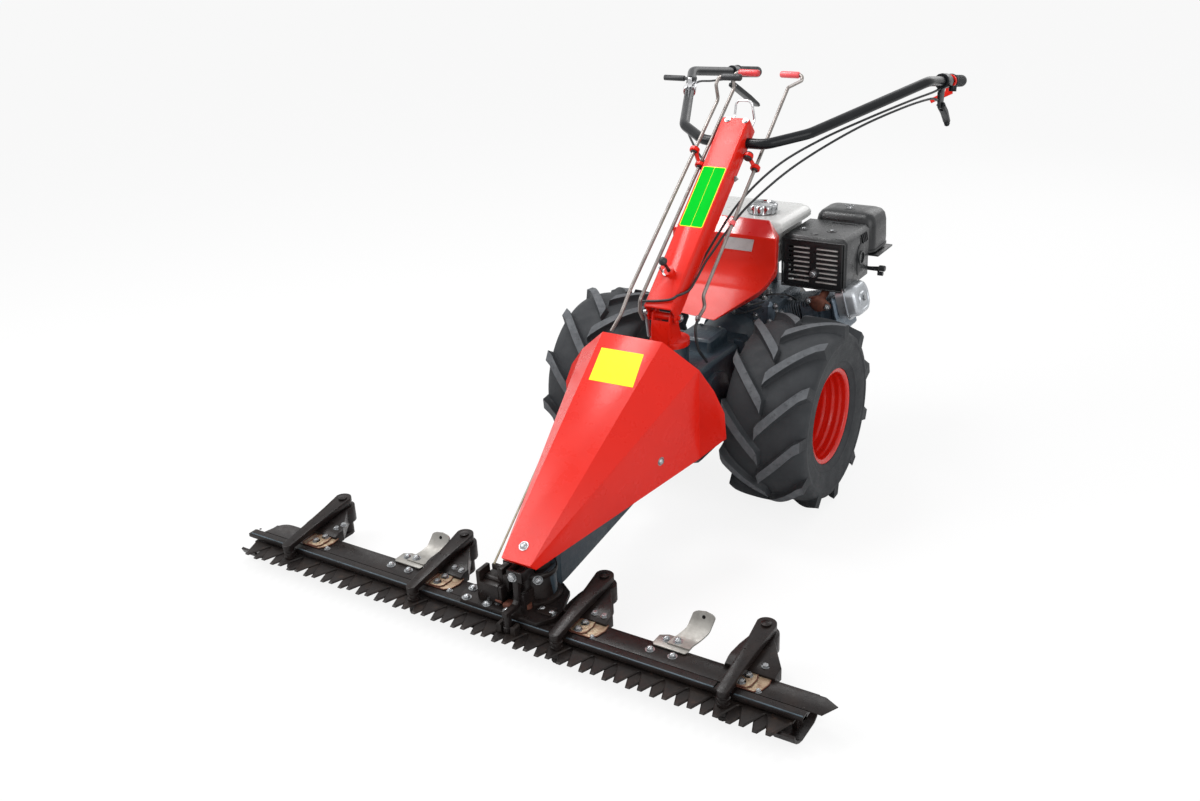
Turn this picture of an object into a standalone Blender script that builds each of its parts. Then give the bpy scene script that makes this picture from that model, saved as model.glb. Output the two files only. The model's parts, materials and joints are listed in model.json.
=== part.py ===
"""Two-wheel tractor with a double-knife cutter bar, built from separate pieces.

Metres, +Z up. The blades point to -Y, the operator stands at +Y and +X is the side of the
exhaust. Pieces are placed in the machine's own axes, where y = 0 is the wheel axle, x = 0 the
middle between the wheels and z = 0 the ground. The empty "machine" then carries them all, so
that the origin of the world lies under the middle of the whole object.
"""

import math

import bmesh
import bpy
from mathutils import Matrix, Vector

# General
GAP = 0.0004  # between pieces that touch
PLAY = 0.0008  # round a pin, a rod or a shaft that moves

# Wheels
TYRE_RADIUS = 0.270
TYRE_WIDTH = 0.246
TYRE_WALL = 0.011
LUG_HEIGHT = 0.017
LUG_WIDTH = 0.028
LUGS_PER_SIDE = 11
LUG_SWEEP = math.radians(31)
WHEEL_STEPS = 22  # facets round a tyre and its rim
WHEEL_X = 0.292  # machine's middle to the middle of a tyre
RIM_RADIUS = 0.138
RIM_WIDTH = 0.207
RIM_SHEET = 0.004
RIM_SEAT = 0.011  # flange top down to the bead seat
RIM_STEP = 0.006
DISC_OFFSET = 0.072  # rim disc, from the tyre's middle towards the gearbox
AXLE_RADIUS = 0.0125
HUB_RADIUS = 0.052

# Gearbox
BOX_WIDTH = 0.190
BOX_FRONT_Y = -0.265
BOX_REAR_Y = 0.105
BOX_BOTTOM = 0.150
BOX_TOP = 0.430
BOX_WALL = 0.010
SHIFT_BOX_HEIGHT = 0.040
BELL_RADIUS = 0.112
BELL_LENGTH = 0.092
AXLE_TUBE_RADIUS = 0.044
AXLE_TUBE_END = 0.152
TURRET_RADIUS = 0.052
TURRET_TOP = 0.500
TURRET_Y = -0.212
PTO_Z = 0.205
PTO_RADIUS = 0.072
PTO_Y = -0.365
SHAFT_RADIUS = 0.011
SHAFT_FRONT_Y = -0.822

# Engine
CRANK_Z = 0.365
CASE_WIDTH = 0.225
CASE_X = 0.010
CASE_REAR_Y = 0.420
CASE_BOTTOM = 0.262
CASE_TOP = 0.505
FAN_RADIUS = 0.138
FAN_DEPTH = 0.086
CYLINDER_TILT = math.radians(15)
CYLINDER_Y = 0.352
CYLINDER_RAISE = 0.013  # its line above the crankshaft's
CYLINDER_DEPTH = 0.135
CYLINDER_HEIGHT = 0.116
CYLINDER_REACH = 0.185
FIN_COUNT = 8
FIN_SHEET = 0.003
PORT_REACH = 0.223  # ports, along the cylinder from the crankshaft
PORT_RISE = 0.018
VALVE_COVER_DEPTH = 0.040
TANK_WIDTH = 0.285
TANK_DEPTH = 0.262
TANK_HEIGHT = 0.150
TANK_RIGHT_X = 0.092
TANK_FRONT_Y = 0.242
TANK_BOTTOM = 0.585
TANK_WALL = 0.003
CAP_RADIUS = 0.037
CAP_HEIGHT = 0.026
CAP_X = 0.020
CAP_Y = 0.345
COVER_WIDTH = 0.204
COVER_DEPTH = 0.202
COVER_HEIGHT = 0.166
COVER_X = 0.104
COVER_Y = 0.298
COVER_BOTTOM = 0.523
COVER_SHEET = 0.0025
LOUVRE_ROWS = 8
MUFFLER_BOTTOM = 0.540
MUFFLER_Y = 0.399
TAIL_Y = 0.420
TAIL_Z = 0.606
FILTER_WIDTH = 0.190
FILTER_DEPTH = 0.140
FILTER_HEIGHT = 0.127
FILTER_X = 0.148
FILTER_Y = 0.505
FILTER_BOTTOM = 0.590
CHOKE_X = 0.352
STARTER_TURN = math.radians(217)
HOOD_HALF_TOP = 0.125
HOOD_HALF_WIDTH = 0.170
HOOD_FRONT_Y = 0.120
HOOD_REAR_Y = 0.234
HOOD_SHEET = 0.002

# Mower
BLADE_PITCH = 0.062
BLADE_COUNT = 26
BLADE_REACH = 0.048
BLADE_TIP = 0.018
KNIFE_SHEET = 0.004
KNIFE_BACK = 0.022
KNIFE_STROKE = 0.015
LOWER_KNIFE_Z = 0.040
PITCHES_PER_ARM = 7
ARM_COUNT = 4
BAR_X = -0.078  # middle of the bar, from the machine's middle
RAIL_LENGTH = 1.655
RAIL_FRONT_Y = -1.014
RAIL_DEPTH = 0.090
RAIL_SHEET = 0.012
RAIL_TOP = 0.067
POST_Y = -0.815
POST_RADIUS = 0.020
PIN_RADIUS = 0.009
ARM_SHEET = 0.016
ARM_REAR_RADIUS = 0.026
ARM_FRONT_RADIUS = 0.016
ARM_REAR_TOP = 0.126
ARM_BOSS_HEIGHT = 0.024
ARM_FRONT_TOP = 0.090
LOWER_ARM_SHEET = 0.010
LOWER_ARM_Z = 0.014
SKID_SHEET = 0.010
BEAM_WIDTH = 0.056
STAY_Y = -0.500  # cross plate that carries the shroud
STAY_HALF = 0.134
BEAM_FRONT_Y = -0.846
BOSS_RADIUS = 0.047
BOSS_TOP = 0.165
LEVER_Y = -0.900
SWATH_LEFT_X = -0.352
SWATH_RIGHT_X = 0.424
FINGER_Y = -1.032
FINGER_RADIUS = 0.012
LEVER_SHEET = 0.016

# Mower shroud: half widths, places along the machine and heights of its folds
SHROUD_SHEET = 0.002
SHROUD_TOP = (0.090, -0.410, 0.587)
SHROUD_SHOULDER = (0.177, -0.379, 0.514)
SHROUD_HEEL = (0.165, -0.360, 0.247)
SHROUD_NOSE = (0.041, -0.979, 0.214)
SHROUD_CHIN = (0.045, -0.964, 0.198)
WING_REACH = 0.250

# Column and handlebar
COLUMN_WIDTH = 0.087
COLUMN_DEPTH = 0.062
COLUMN_LENGTH = 0.642
COLUMN_SHEET = 0.003
COLUMN_FOOT_Y = -0.280  # lower end of the front face
COLUMN_FOOT_Z = 0.624
COLUMN_LEAN = math.radians(41.2)  # above level
PIVOT_Y = -0.240
PIVOT_Z = 0.590
PIVOT_RADIUS = 0.006
LOCK_PLACE = 0.110  # lock plunger, along the column
FOOT_WIDTH = 0.058
FOOT_SHEET = 0.005
BAR_RADIUS = 0.015
BAR_WALL = 0.0025
BAR_CROSS_Y = 0.188
BAR_CROSS_Z = 0.977
BEND_A = (0.200, 0.262, 1.000)
BEND_B = (0.398, 0.692, 1.086)
BAR_END = (0.369, 1.131, 1.018)
BEND_RADIUS = 0.070
GRIP_RADIUS = 0.019
GRIP_LENGTH = 0.150
GRIP_CAP = 0.0045
CLUTCH_PIVOT = (-0.386, 0.968, 0.996)
BRAKE_PIVOT = (0.386, 0.872, 0.984)
THROTTLE_SHARE = 0.640  # collar of the throttle lever, along the tube from its bend
COLLAR_RADIUS = 0.021  # collars and clamps round the handlebar
CABLE_LEVER_SHARE = 0.620
CABLE_LEVER_RISE = 0.036
CABLE_PIN_RADIUS = 0.004
ROD_RADIUS = 0.005
ROD_A_X = -0.078
ROD_B_X = -0.057
ROD_C_X = 0.078
CABLE_RADIUS = 0.003

BLADE_TIP_Y = RAIL_FRONT_Y - 0.008 - BLADE_REACH

# Directions in which an outline's or a turned shape's own Z axis can point
FACING = {
    "Z": Matrix.Identity(4),
    "X": Matrix(((0, 0, 1, 0), (1, 0, 0, 0), (0, 1, 0, 0), (0, 0, 0, 1))),
    "Y": Matrix(((0, 1, 0, 0), (0, 0, 1, 0), (1, 0, 0, 0), (0, 0, 0, 1))),
}
COLUMN = Matrix.Translation((0, COLUMN_FOOT_Y, COLUMN_FOOT_Z)) @ Matrix.Rotation(
    COLUMN_LEAN, 4, "X"
)


# Scene and object helpers


def clear_scene():
    for obj in list(bpy.data.objects):
        bpy.data.objects.remove(obj)


def collection(name, hidden=False):
    made = bpy.data.collections.new(name)
    bpy.context.scene.collection.children.link(made)
    made.hide_render = hidden
    return made


clear_scene()
PARTS = collection("two_wheel_tractor")
CUTTERS = collection("cutters", hidden=True)
MACHINE = bpy.data.objects.new("machine", None)
PARTS.objects.link(MACHINE)


def paint(name, colour, roughness, metallic=0.0):
    material = bpy.data.materials.new(name)
    material.use_nodes = True
    shader = material.node_tree.nodes["Principled BSDF"]
    shader.inputs["Base Color"].default_value = (*colour, 1)
    shader.inputs["Roughness"].default_value = roughness
    shader.inputs["Metallic"].default_value = metallic
    material.diffuse_color = (*colour, 1)
    return material


RED = paint("red_paint", (0.60, 0.020, 0.012), 0.35)
RIM_RED = paint("rim_red", (0.45, 0.016, 0.008), 0.35)
BLUE_BLACK = paint("gearbox_paint", (0.018, 0.032, 0.042), 0.45)
BLACK = paint("black_paint", (0.016, 0.014, 0.014), 0.45)
STEEL = paint("zinc_steel", (0.55, 0.53, 0.50), 0.35, 1.0)
ALLOY = paint("cast_alloy", (0.42, 0.44, 0.46), 0.45, 1.0)
RUBBER = paint("tyre_rubber", (0.035, 0.038, 0.040), 0.75)
PLASTIC = paint("black_plastic", (0.020, 0.022, 0.024), 0.5)
TANK_GREY = paint("tank_grey", (0.62, 0.62, 0.61), 0.35)
CHROME = paint("chrome", (0.75, 0.76, 0.78), 0.12, 1.0)
BROWN = paint("rusty_brown", (0.10, 0.035, 0.022), 0.7)


def register(obj, material, within):
    """Hangs a new object on the machine: a part if it has a material, or else a shape that only cuts or joins."""
    if material:
        obj.data.materials.append(material)
        PARTS.objects.link(obj)
    else:
        CUTTERS.objects.link(obj)
        obj.hide_render = True
        obj.display_type = "WIRE"
    obj.parent = MACHINE
    obj.matrix_basis = within
    return obj


def from_bmesh(name, shape, material, within, smooth=False):
    mesh = bpy.data.meshes.new(name)
    bmesh.ops.recalc_face_normals(shape, faces=shape.faces)
    shape.to_mesh(mesh)
    shape.free()
    if smooth:
        mesh.shade_smooth()
        mesh.set_sharp_from_angle(angle=math.radians(32))
    return register(bpy.data.objects.new(name, mesh), material, within)


def move(x, y, z):
    return Matrix.Translation((x, y, z))


def block(name, size, at, material=None, within=Matrix(), bevel=0.0, segments=1):
    """A box round its centre, with bevelled edges."""
    shape = bmesh.new()
    bmesh.ops.create_cube(shape, size=1, matrix=Matrix.Diagonal((*size, 1)))
    if bevel:
        bmesh.ops.bevel(
            shape, geom=shape.edges[:], offset=bevel, segments=segments, profile=0.5, affect="EDGES"
        )
    return from_bmesh(name, shape, material, within @ move(*at))


def cylinder(name, radius, ends, axis="Z", at=(0, 0), material=None, within=Matrix(), sides=20):
    """A round bar along an axis from ends[0] to ends[1], at the other two coordinates."""
    shape = bmesh.new()
    bmesh.ops.create_cone(
        shape,
        cap_ends=True,
        segments=sides,
        radius1=radius,
        radius2=radius,
        depth=ends[1] - ends[0],
    )
    middle = (ends[0] + ends[1]) / 2
    place = {"X": (middle, *at), "Y": (at[0], middle, at[1]), "Z": (*at, middle)}[axis]
    return from_bmesh(name, shape, material, within @ move(*place) @ FACING[axis], smooth=True)


def turned(name, profile, axis="Z", at=(0, 0, 0), material=None, within=Matrix(), steps=32):
    """A shape turned about an axis. The profile is a closed line of (place along the axis, radius)."""
    area = sum(
        (q[1] - p[1]) * (p[0] + q[0]) for p, q in zip(profile, profile[1:] + profile[:1])
    )
    if area < 0:
        profile = profile[::-1]
    on_axis = profile[0][1] == 0 and profile[-1][1] == 0
    mesh = bpy.data.meshes.new(name)
    corners = [(radius, 0, along) for along, radius in profile]
    edges = [(i, i + 1) for i in range(len(corners) - 1)]
    if not on_axis:
        edges.append((len(corners) - 1, 0))
    mesh.from_pydata(corners, edges, [])
    obj = register(bpy.data.objects.new(name, mesh), material, within @ move(*at) @ FACING[axis])
    screw = obj.modifiers.new("turn", "SCREW")
    screw.steps = steps
    screw.render_steps = steps
    screw.use_merge_vertices = True
    screw.merge_threshold = 0.00001
    screw.use_smooth_shade = False
    return obj


def evaluated_mesh(obj, name):
    graph = bpy.context.evaluated_depsgraph_get()
    mesh = bpy.data.meshes.new_from_object(obj.evaluated_get(graph))
    mesh.name = name
    shape = bmesh.new()
    shape.from_mesh(mesh)
    bmesh.ops.remove_doubles(shape, verts=shape.verts, dist=0.00001)
    shape.to_mesh(mesh)
    shape.free()
    return mesh


def curve_solid(name, curve, material, within):
    """A curve made a closed mesh, so that it can be cut and joined."""
    guide = bpy.data.objects.new(name, curve)
    CUTTERS.objects.link(guide)
    mesh = evaluated_mesh(guide, name)
    bpy.data.objects.remove(guide)
    mesh.materials.clear()
    return register(bpy.data.objects.new(name, mesh), material, within)


def inset(outline, distance):
    """A closed outline with each side moved inwards."""
    turn = sum(p[0] * q[1] - q[0] * p[1] for p, q in zip(outline, outline[1:] + outline[:1]))
    line = [Vector(point) for point in (outline if turn > 0 else outline[::-1])]
    moved = []
    for before, corner, after in zip([line[-1], *line], line, [*line[1:], line[0]]):
        one = (corner - before).normalized()
        two = (after - corner).normalized()
        inward = Vector((-one.y - two.y, one.x + two.x))
        moved.append(corner + inward * (2 * distance / inward.length_squared))
    return moved


def slab(name, outline, sheet, axis="Z", at=(0, 0, 0), material=None, within=Matrix(), bevel=0.0):
    """A flat outline, as thick as its sheet and centred on it."""
    if bevel:
        outline = inset(outline, bevel)
    curve = bpy.data.curves.new(name, "CURVE")
    curve.dimensions = "2D"
    curve.fill_mode = "BOTH"
    curve.extrude = sheet / 2 - bevel
    curve.bevel_depth = bevel
    curve.bevel_resolution = 0
    spline = curve.splines.new("POLY")
    spline.points.add(len(outline) - 1)
    for point, (across, up) in zip(spline.points, outline):
        point.co = (across, up, 0, 1)
    spline.use_cyclic_u = True
    return curve_solid(name, curve, material, within @ move(*at) @ FACING[axis])


def tube(name, points, radius, material=None, within=Matrix(), resolution=2):
    """A round bar or cable along a line of points."""
    curve = bpy.data.curves.new(name, "CURVE")
    curve.dimensions = "3D"
    curve.bevel_depth = radius
    curve.bevel_resolution = resolution
    curve.use_fill_caps = True
    spline = curve.splines.new("POLY")
    spline.points.add(len(points) - 1)
    for point, place in zip(spline.points, points):
        point.co = (*place, 1)
    return curve_solid(name, curve, material, within)


def rounded(corners, radius, steps=4):
    """The points of a line whose inner corners are bent round a radius."""
    corners = [Vector(corner) for corner in corners]
    line = [corners[0]]
    for before, corner, after in zip(corners, corners[1:], corners[2:]):
        back = (before - corner).normalized()
        ahead = (after - corner).normalized()
        half = back.angle(ahead) / 2
        reach = radius / math.tan(half)
        reach = min(reach, 0.45 * (before - corner).length, 0.45 * (after - corner).length)
        bend = reach * math.tan(half)
        middle = corner + (back + ahead).normalized() * (bend / math.sin(half))
        start = corner + back * reach - middle
        end = corner + ahead * reach - middle
        for step in range(steps + 1):
            line.append(middle + start.slerp(end, step / steps).normalized() * bend)
    return line + [corners[-1]]


def smooth_line(points, spacing):
    """Points along a Catmull-Rom curve through the given ones."""
    points = [Vector(point) for point in points]
    padded = [2 * points[0] - points[1], *points, 2 * points[-1] - points[-2]]
    line = []
    for a, b, c, d in zip(padded, padded[1:], padded[2:], padded[3:]):
        steps = max(1, round((c - b).length / spacing))
        for step in range(steps):
            t = step / steps
            line.append(
                0.5
                * (
                    2 * b
                    + (c - a) * t
                    + (2 * a - 5 * b + 4 * c - d) * t**2
                    + (3 * b - 3 * c + d - a) * t**3
                )
            )
    return line + [points[-1]]


def arc(centre, radius, start, end, steps):
    """Points of a round stretch of an outline, with its angles in degrees."""
    angles = [math.radians(start + (end - start) * step / steps) for step in range(steps + 1)]
    return [(centre[0] + radius * math.cos(a), centre[1] + radius * math.sin(a)) for a in angles]


def combine(obj, others, operation):
    group = bpy.data.collections.new(f"{obj.name}_{operation.lower()}_{len(obj.modifiers)}")
    CUTTERS.children.link(group)
    for other in others:
        CUTTERS.objects.unlink(other)
        group.objects.link(other)
    boolean = obj.modifiers.new(operation.lower(), "BOOLEAN")
    boolean.operand_type = "COLLECTION"
    boolean.collection = group
    boolean.operation = operation
    boolean.solver = "EXACT"
    return obj


def fuse(obj, *others):
    return combine(obj, others, "UNION")


def carve(obj, *others):
    return combine(obj, others, "DIFFERENCE")


# Wheels


def carcass_radius(across):
    """Radius of the tyre without its lugs, at a distance across from its middle."""
    share = min(abs(across) / (TYRE_WIDTH / 2), 1.0)
    crown = TYRE_RADIUS - LUG_HEIGHT
    return crown - 0.055 * share**3.2


def tyre_profile():
    half = TYRE_WIDTH / 2
    bead = RIM_RADIUS - RIM_SEAT + GAP
    lip = RIM_RADIUS + GAP
    flange = RIM_WIDTH / 2
    tread = [(share * half, carcass_radius(share * half)) for share in (0, 0.60, 0.90)]
    side = [
        (half, 0.186),
        (half - 0.008, 0.152),
        (flange + 0.003, lip),
        (flange - RIM_SHEET - GAP, lip),
        (flange - RIM_SHEET - GAP, bead),
        (flange - 0.020, bead),
    ]
    inside = [
        (half - TYRE_WALL, 0.178),
        (0.72 * half, carcass_radius(0.72 * half) - TYRE_WALL),
    ]
    right = tread + side + inside
    left = [(-across, radius) for across, radius in reversed(right)]
    return right + left[:-1]


def tyre_lugs(name, within):
    """Bars that run from just past the middle of the tread out to each shoulder, in two rows half a step apart."""
    shape = bmesh.new()
    reach = TYRE_WIDTH / 2 - 0.004
    stations = (-0.007, 0.066, reach)
    for side in (1, -1):
        for number in range(LUGS_PER_SIDE):
            turn = 2 * math.pi * (number + (0.5 if side < 0 else 0)) / LUGS_PER_SIDE
            rings = []
            for across in stations:
                base = carcass_radius(across) - 0.006
                share = max(across, 0) / reach
                height = LUG_HEIGHT * (1 - 0.45 * share**4) + 0.006
                middle = turn + LUG_SWEEP * share**1.1
                width = LUG_WIDTH * (1 + 0.15 * share) / TYRE_RADIUS
                ring = []
                for radius, spread in (
                    (base, 0.60),
                    (base + height, 0.44),
                    (base + height, -0.44),
                    (base, -0.60),
                ):
                    angle = middle + spread * width
                    ring.append(
                        shape.verts.new(
                            (-radius * math.cos(angle), radius * math.sin(angle), side * across)
                        )
                    )
                rings.append(ring)
            for one, two in zip(rings, rings[1:]):
                for i in range(4):
                    j = (i + 1) % 4
                    shape.faces.new((one[i], one[j], two[j], two[i]))
            shape.faces.new(rings[0])
            shape.faces.new(rings[-1])
    return from_bmesh(name, shape, None, within)


def wheel(side, sign):
    """Tyre, rim and half axle of one side, which turn together."""
    centre = (sign * WHEEL_X, 0, TYRE_RADIUS)
    within = move(*centre) @ FACING["X"]
    tyre = turned(f"tyre_{side}", tyre_profile(), "X", centre, RUBBER, steps=WHEEL_STEPS)
    fuse(tyre, tyre_lugs(f"lugs_{side}", within))

    half = RIM_WIDTH / 2
    seat = RIM_RADIUS - RIM_SEAT
    well = seat - 2 * RIM_STEP
    barrel = [
        (half, RIM_RADIUS),
        (half - RIM_SHEET, RIM_RADIUS),
        (half - RIM_SHEET, seat),
        (half - 0.028, seat),
        (half - 0.056, well),
        (-half + 0.032, well),
        (-half + RIM_SHEET, seat),
        (-half + RIM_SHEET, RIM_RADIUS),
        (-half, RIM_RADIUS),
        (-half, seat - RIM_SHEET),
        (-half + 0.034, well - RIM_SHEET),
        (half - 0.058, well - RIM_SHEET),
        (half - 0.042, seat - RIM_STEP - RIM_SHEET),
        (half - 0.030, seat - RIM_SHEET),
        (half, seat - RIM_SHEET),
    ]
    barrel = [(sign * along, radius) for along, radius in barrel]
    rim = turned(f"rim_{side}", barrel, "X", centre, RIM_RED, steps=WHEEL_STEPS)
    disc_x = -sign * DISC_OFFSET
    dish = [
        (disc_x, 0.022),
        (disc_x, 0.062),
        (disc_x + sign * 0.016, well - 0.002),
        (disc_x + sign * 0.021, well - 0.002),
        (disc_x + sign * 0.005, 0.060),
        (disc_x + sign * 0.005, 0.022),
    ]
    fuse(rim, turned(f"dish_{side}", dish, "X", centre, steps=WHEEL_STEPS))

    disc_place = WHEEL_X - DISC_OFFSET
    flange = disc_place - GAP
    axle = [
        (0.012, 0),
        (0.012, 0.060),
        (0.030, 0.060),
        (0.030, AXLE_RADIUS),
        (AXLE_TUBE_END + PLAY, AXLE_RADIUS),
        (AXLE_TUBE_END + PLAY, 0.030),
        (flange - 0.010, 0.030),
        (flange - 0.010, HUB_RADIUS),
        (flange, HUB_RADIUS),
        (flange, 0.022 - PLAY),
        (flange + 0.024, 0.022 - PLAY),
        (flange + 0.024, 0),
    ]
    axle = [(sign * along, radius) for along, radius in axle]
    hub = turned(f"axle_{side}", axle, "X", (0, 0, TYRE_RADIUS), STEEL, steps=12)
    return tyre, rim, hub


# Gearbox and drive


def gearbox():
    half = BOX_WIDTH / 2
    side = [
        (BOX_FRONT_Y, BOX_BOTTOM + 0.02),
        (BOX_FRONT_Y + 0.05, BOX_BOTTOM),
        (BOX_REAR_Y - 0.08, BOX_BOTTOM + 0.01),
        (BOX_REAR_Y, BOX_BOTTOM + 0.09),
        (BOX_REAR_Y, BOX_TOP),
        (BOX_FRONT_Y + 0.03, BOX_TOP),
        (BOX_FRONT_Y, BOX_TOP - 0.05),
    ]
    box = slab("gearbox_housing", side, BOX_WIDTH, "X", (0, 0, 0), BLUE_BLACK, bevel=0.010)
    bell_rear = BOX_REAR_Y + BELL_LENGTH
    fuse(
        box,
        turned(
            "bell",
            [
                (BOX_REAR_Y - 0.005, 0),
                (BOX_REAR_Y - 0.005, 0.075),
                (BOX_REAR_Y + 0.030, BELL_RADIUS - 0.014),
                (bell_rear - 0.012, BELL_RADIUS - 0.010),
                (bell_rear - 0.012, BELL_RADIUS),
                (bell_rear, BELL_RADIUS),
                (bell_rear, 0),
            ],
            "Y",
            (0, 0, CRANK_Z),
            steps=18,
        ),
        cylinder(
            "axle_tubes",
            AXLE_TUBE_RADIUS,
            (-AXLE_TUBE_END, AXLE_TUBE_END),
            "X",
            (0, TYRE_RADIUS),
            sides=14,
        ),
        cylinder(
            "pto_nose", PTO_RADIUS - 0.010, (PTO_Y, BOX_FRONT_Y + 0.02), "Y", (0, PTO_Z), sides=14
        ),
        cylinder("pto_flange", PTO_RADIUS, (PTO_Y, PTO_Y + 0.014), "Y", (0, PTO_Z), sides=18),
        cylinder("turret", TURRET_RADIUS, (BOX_TOP - 0.02, TURRET_TOP), "Z", (0, TURRET_Y), sides=18),
        cylinder("side_cover", 0.070, (half - 0.01, half + 0.012), "X", (-0.13, 0.33), sides=12),
        cylinder("side_cover_left", 0.070, (-half - 0.012, -half + 0.01), "X", (-0.13, 0.33), sides=12),
        block(
            "shift_box",
            (0.11, 0.12, SHIFT_BOX_HEIGHT + 0.01),
            (0, -0.02, BOX_TOP + SHIFT_BOX_HEIGHT / 2 - 0.005),
            bevel=0.008,
        ),
        block("rib_right", (0.030, 0.010, 0.16), (half, 0.03, 0.36)),
        block("rib_left", (0.030, 0.010, 0.16), (-half, 0.03, 0.36)),
    )
    carve(
        box,
        slab("gear_space", inset(side, BOX_WALL), BOX_WIDTH - 2 * BOX_WALL, "X"),
        cylinder(
            "bell_space",
            BELL_RADIUS - 0.030,
            (BOX_REAR_Y + 0.020, bell_rear + 0.01),
            "Y",
            (0, CRANK_Z),
            sides=14,
        ),
        cylinder(
            "main_bore", 0.016, (BOX_REAR_Y - 0.08, BOX_REAR_Y + 0.03), "Y", (0, CRANK_Z), sides=12
        ),
        cylinder(
            "pto_bore",
            SHAFT_RADIUS + 0.004,
            (PTO_Y - 0.01, BOX_FRONT_Y + 0.09),
            "Y",
            (0, PTO_Z),
            sides=12,
        ),
        cylinder(
            "axle_bore",
            AXLE_RADIUS + PLAY,
            (-AXLE_TUBE_END - 0.01, AXLE_TUBE_END + 0.01),
            "X",
            (0, TYRE_RADIUS),
            sides=12,
        ),
    )
    return box


def drive_shafts():
    """Main shaft from the clutch and, below it, the shaft that runs forward to the mower."""
    main = turned(
        "main_shaft",
        [
            (-0.180, 0),
            (-0.180, 0.010),
            (-0.150, 0.010),
            (-0.150, 0.025),
            (-0.130, 0.025),
            (-0.130, 0.012),
            (BOX_REAR_Y + 0.028, 0.012),
            (BOX_REAR_Y + 0.028, 0.056),
            (BOX_REAR_Y + 0.046, 0.056),
            (BOX_REAR_Y + 0.046, 0),
        ],
        "Y",
        (0, 0, CRANK_Z),
        STEEL,
        steps=12,
    )
    pto = turned(
        "mower_drive_shaft",
        [
            (SHAFT_FRONT_Y, 0),
            (SHAFT_FRONT_Y, 0.018),
            (SHAFT_FRONT_Y + 0.014, 0.018),
            (SHAFT_FRONT_Y + 0.014, SHAFT_RADIUS),
            (-0.215, SHAFT_RADIUS),
            (-0.215, 0.015),
            (-0.200, 0.015),
            (-0.200, 0),
        ],
        "Y",
        (0, 0, PTO_Z),
        STEEL,
        steps=12,
    )
    return main, pto


# Engine


CYLINDER_FRAME = move(0, CYLINDER_Y, CRANK_Z + CYLINDER_RAISE) @ Matrix.Rotation(
    -CYLINDER_TILT, 4, "Y"
)
BELL_REAR_Y = BOX_REAR_Y + BELL_LENGTH
CASE_FRONT_Y = BELL_REAR_Y + GAP
BASE_REACH = CASE_X + CASE_WIDTH / 2 + 0.028


def crankshaft():
    journal = SHAFT_RADIUS + 0.0015
    return turned(
        "crankshaft",
        [
            (BELL_REAR_Y - 0.042, 0),
            (BELL_REAR_Y - 0.042, 0.062),
            (BELL_REAR_Y - 0.012, 0.062),
            (BELL_REAR_Y - 0.012, journal),
            (CYLINDER_Y - 0.040, journal),
            (CYLINDER_Y - 0.040, 0.048),
            (CYLINDER_Y - 0.024, 0.048),
            (CYLINDER_Y - 0.024, 0.018),
            (CYLINDER_Y + 0.002, 0.018),
            (CYLINDER_Y + 0.002, 0.048),
            (CYLINDER_Y + 0.018, 0.048),
            (CYLINDER_Y + 0.018, journal),
            (CASE_REAR_Y + 0.022, journal),
            (CASE_REAR_Y + 0.022, FAN_RADIUS - 0.036),
            (CASE_REAR_Y + 0.040, FAN_RADIUS - 0.036),
            (CASE_REAR_Y + 0.040, 0.040),
            (CASE_REAR_Y + 0.064, 0.040),
            (CASE_REAR_Y + 0.064, 0),
        ],
        "Y",
        (0, 0, CRANK_Z),
        STEEL,
        steps=10,
    )


def crankcase():
    length = CASE_REAR_Y - CASE_FRONT_Y
    middle = (CASE_REAR_Y + CASE_FRONT_Y) / 2
    height = CASE_TOP - CASE_BOTTOM
    wall = 0.010
    case = block(
        "engine_crankcase",
        (CASE_WIDTH, length, height),
        (CASE_X, middle, CASE_BOTTOM + height / 2),
        ALLOY,
        bevel=0.014,
    )
    strut_height = TANK_BOTTOM - GAP - CASE_TOP
    fuse(
        case,
        cylinder(
            "front_flange",
            BELL_RADIUS,
            (CASE_FRONT_Y, CASE_FRONT_Y + 0.014),
            "Y",
            (0, CRANK_Z),
            sides=20,
        ),
        block(
            "cylinder_base",
            (0.080, CYLINDER_DEPTH, CYLINDER_HEIGHT),
            (BASE_REACH - 0.040, 0, 0),
            within=CYLINDER_FRAME,
        ),
        *(
            block(
                f"tank_strut_{number}",
                (0.190, 0.010, strut_height + 0.010),
                (-0.045, y, CASE_TOP + strut_height / 2 - 0.005),
            )
            for number, y in enumerate((0.290, 0.400))
        ),
        *(
            block(
                f"foot_{number}", (0.030, length - 0.02, 0.012), (x, middle, CASE_BOTTOM), bevel=0.003
            )
            for number, x in enumerate((CASE_X - 0.085, CASE_X + 0.085))
        ),
    )
    journal = SHAFT_RADIUS + 0.0015 + PLAY
    carve(
        case,
        block(
            "case_space",
            (CASE_WIDTH - 2 * wall, length - 2 * wall - 0.004, height - 2 * wall),
            (CASE_X, middle + 0.002, CASE_BOTTOM + height / 2),
        ),
        cylinder(
            "crank_bore",
            journal,
            (CASE_FRONT_Y - 0.01, CASE_REAR_Y + 0.01),
            "Y",
            (0, CRANK_Z),
            sides=12,
        ),
        cylinder("base_bore", 0.040, (0.06, BASE_REACH + 0.01), "X", within=CYLINDER_FRAME, sides=14),
        *(
            block(
                f"strut_gap_{number}",
                (0.150, 0.03, strut_height - 0.030),
                (-0.045, y, CASE_TOP + 0.036),
            )
            for number, y in enumerate((0.290, 0.400))
        ),
    )
    return case


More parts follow.
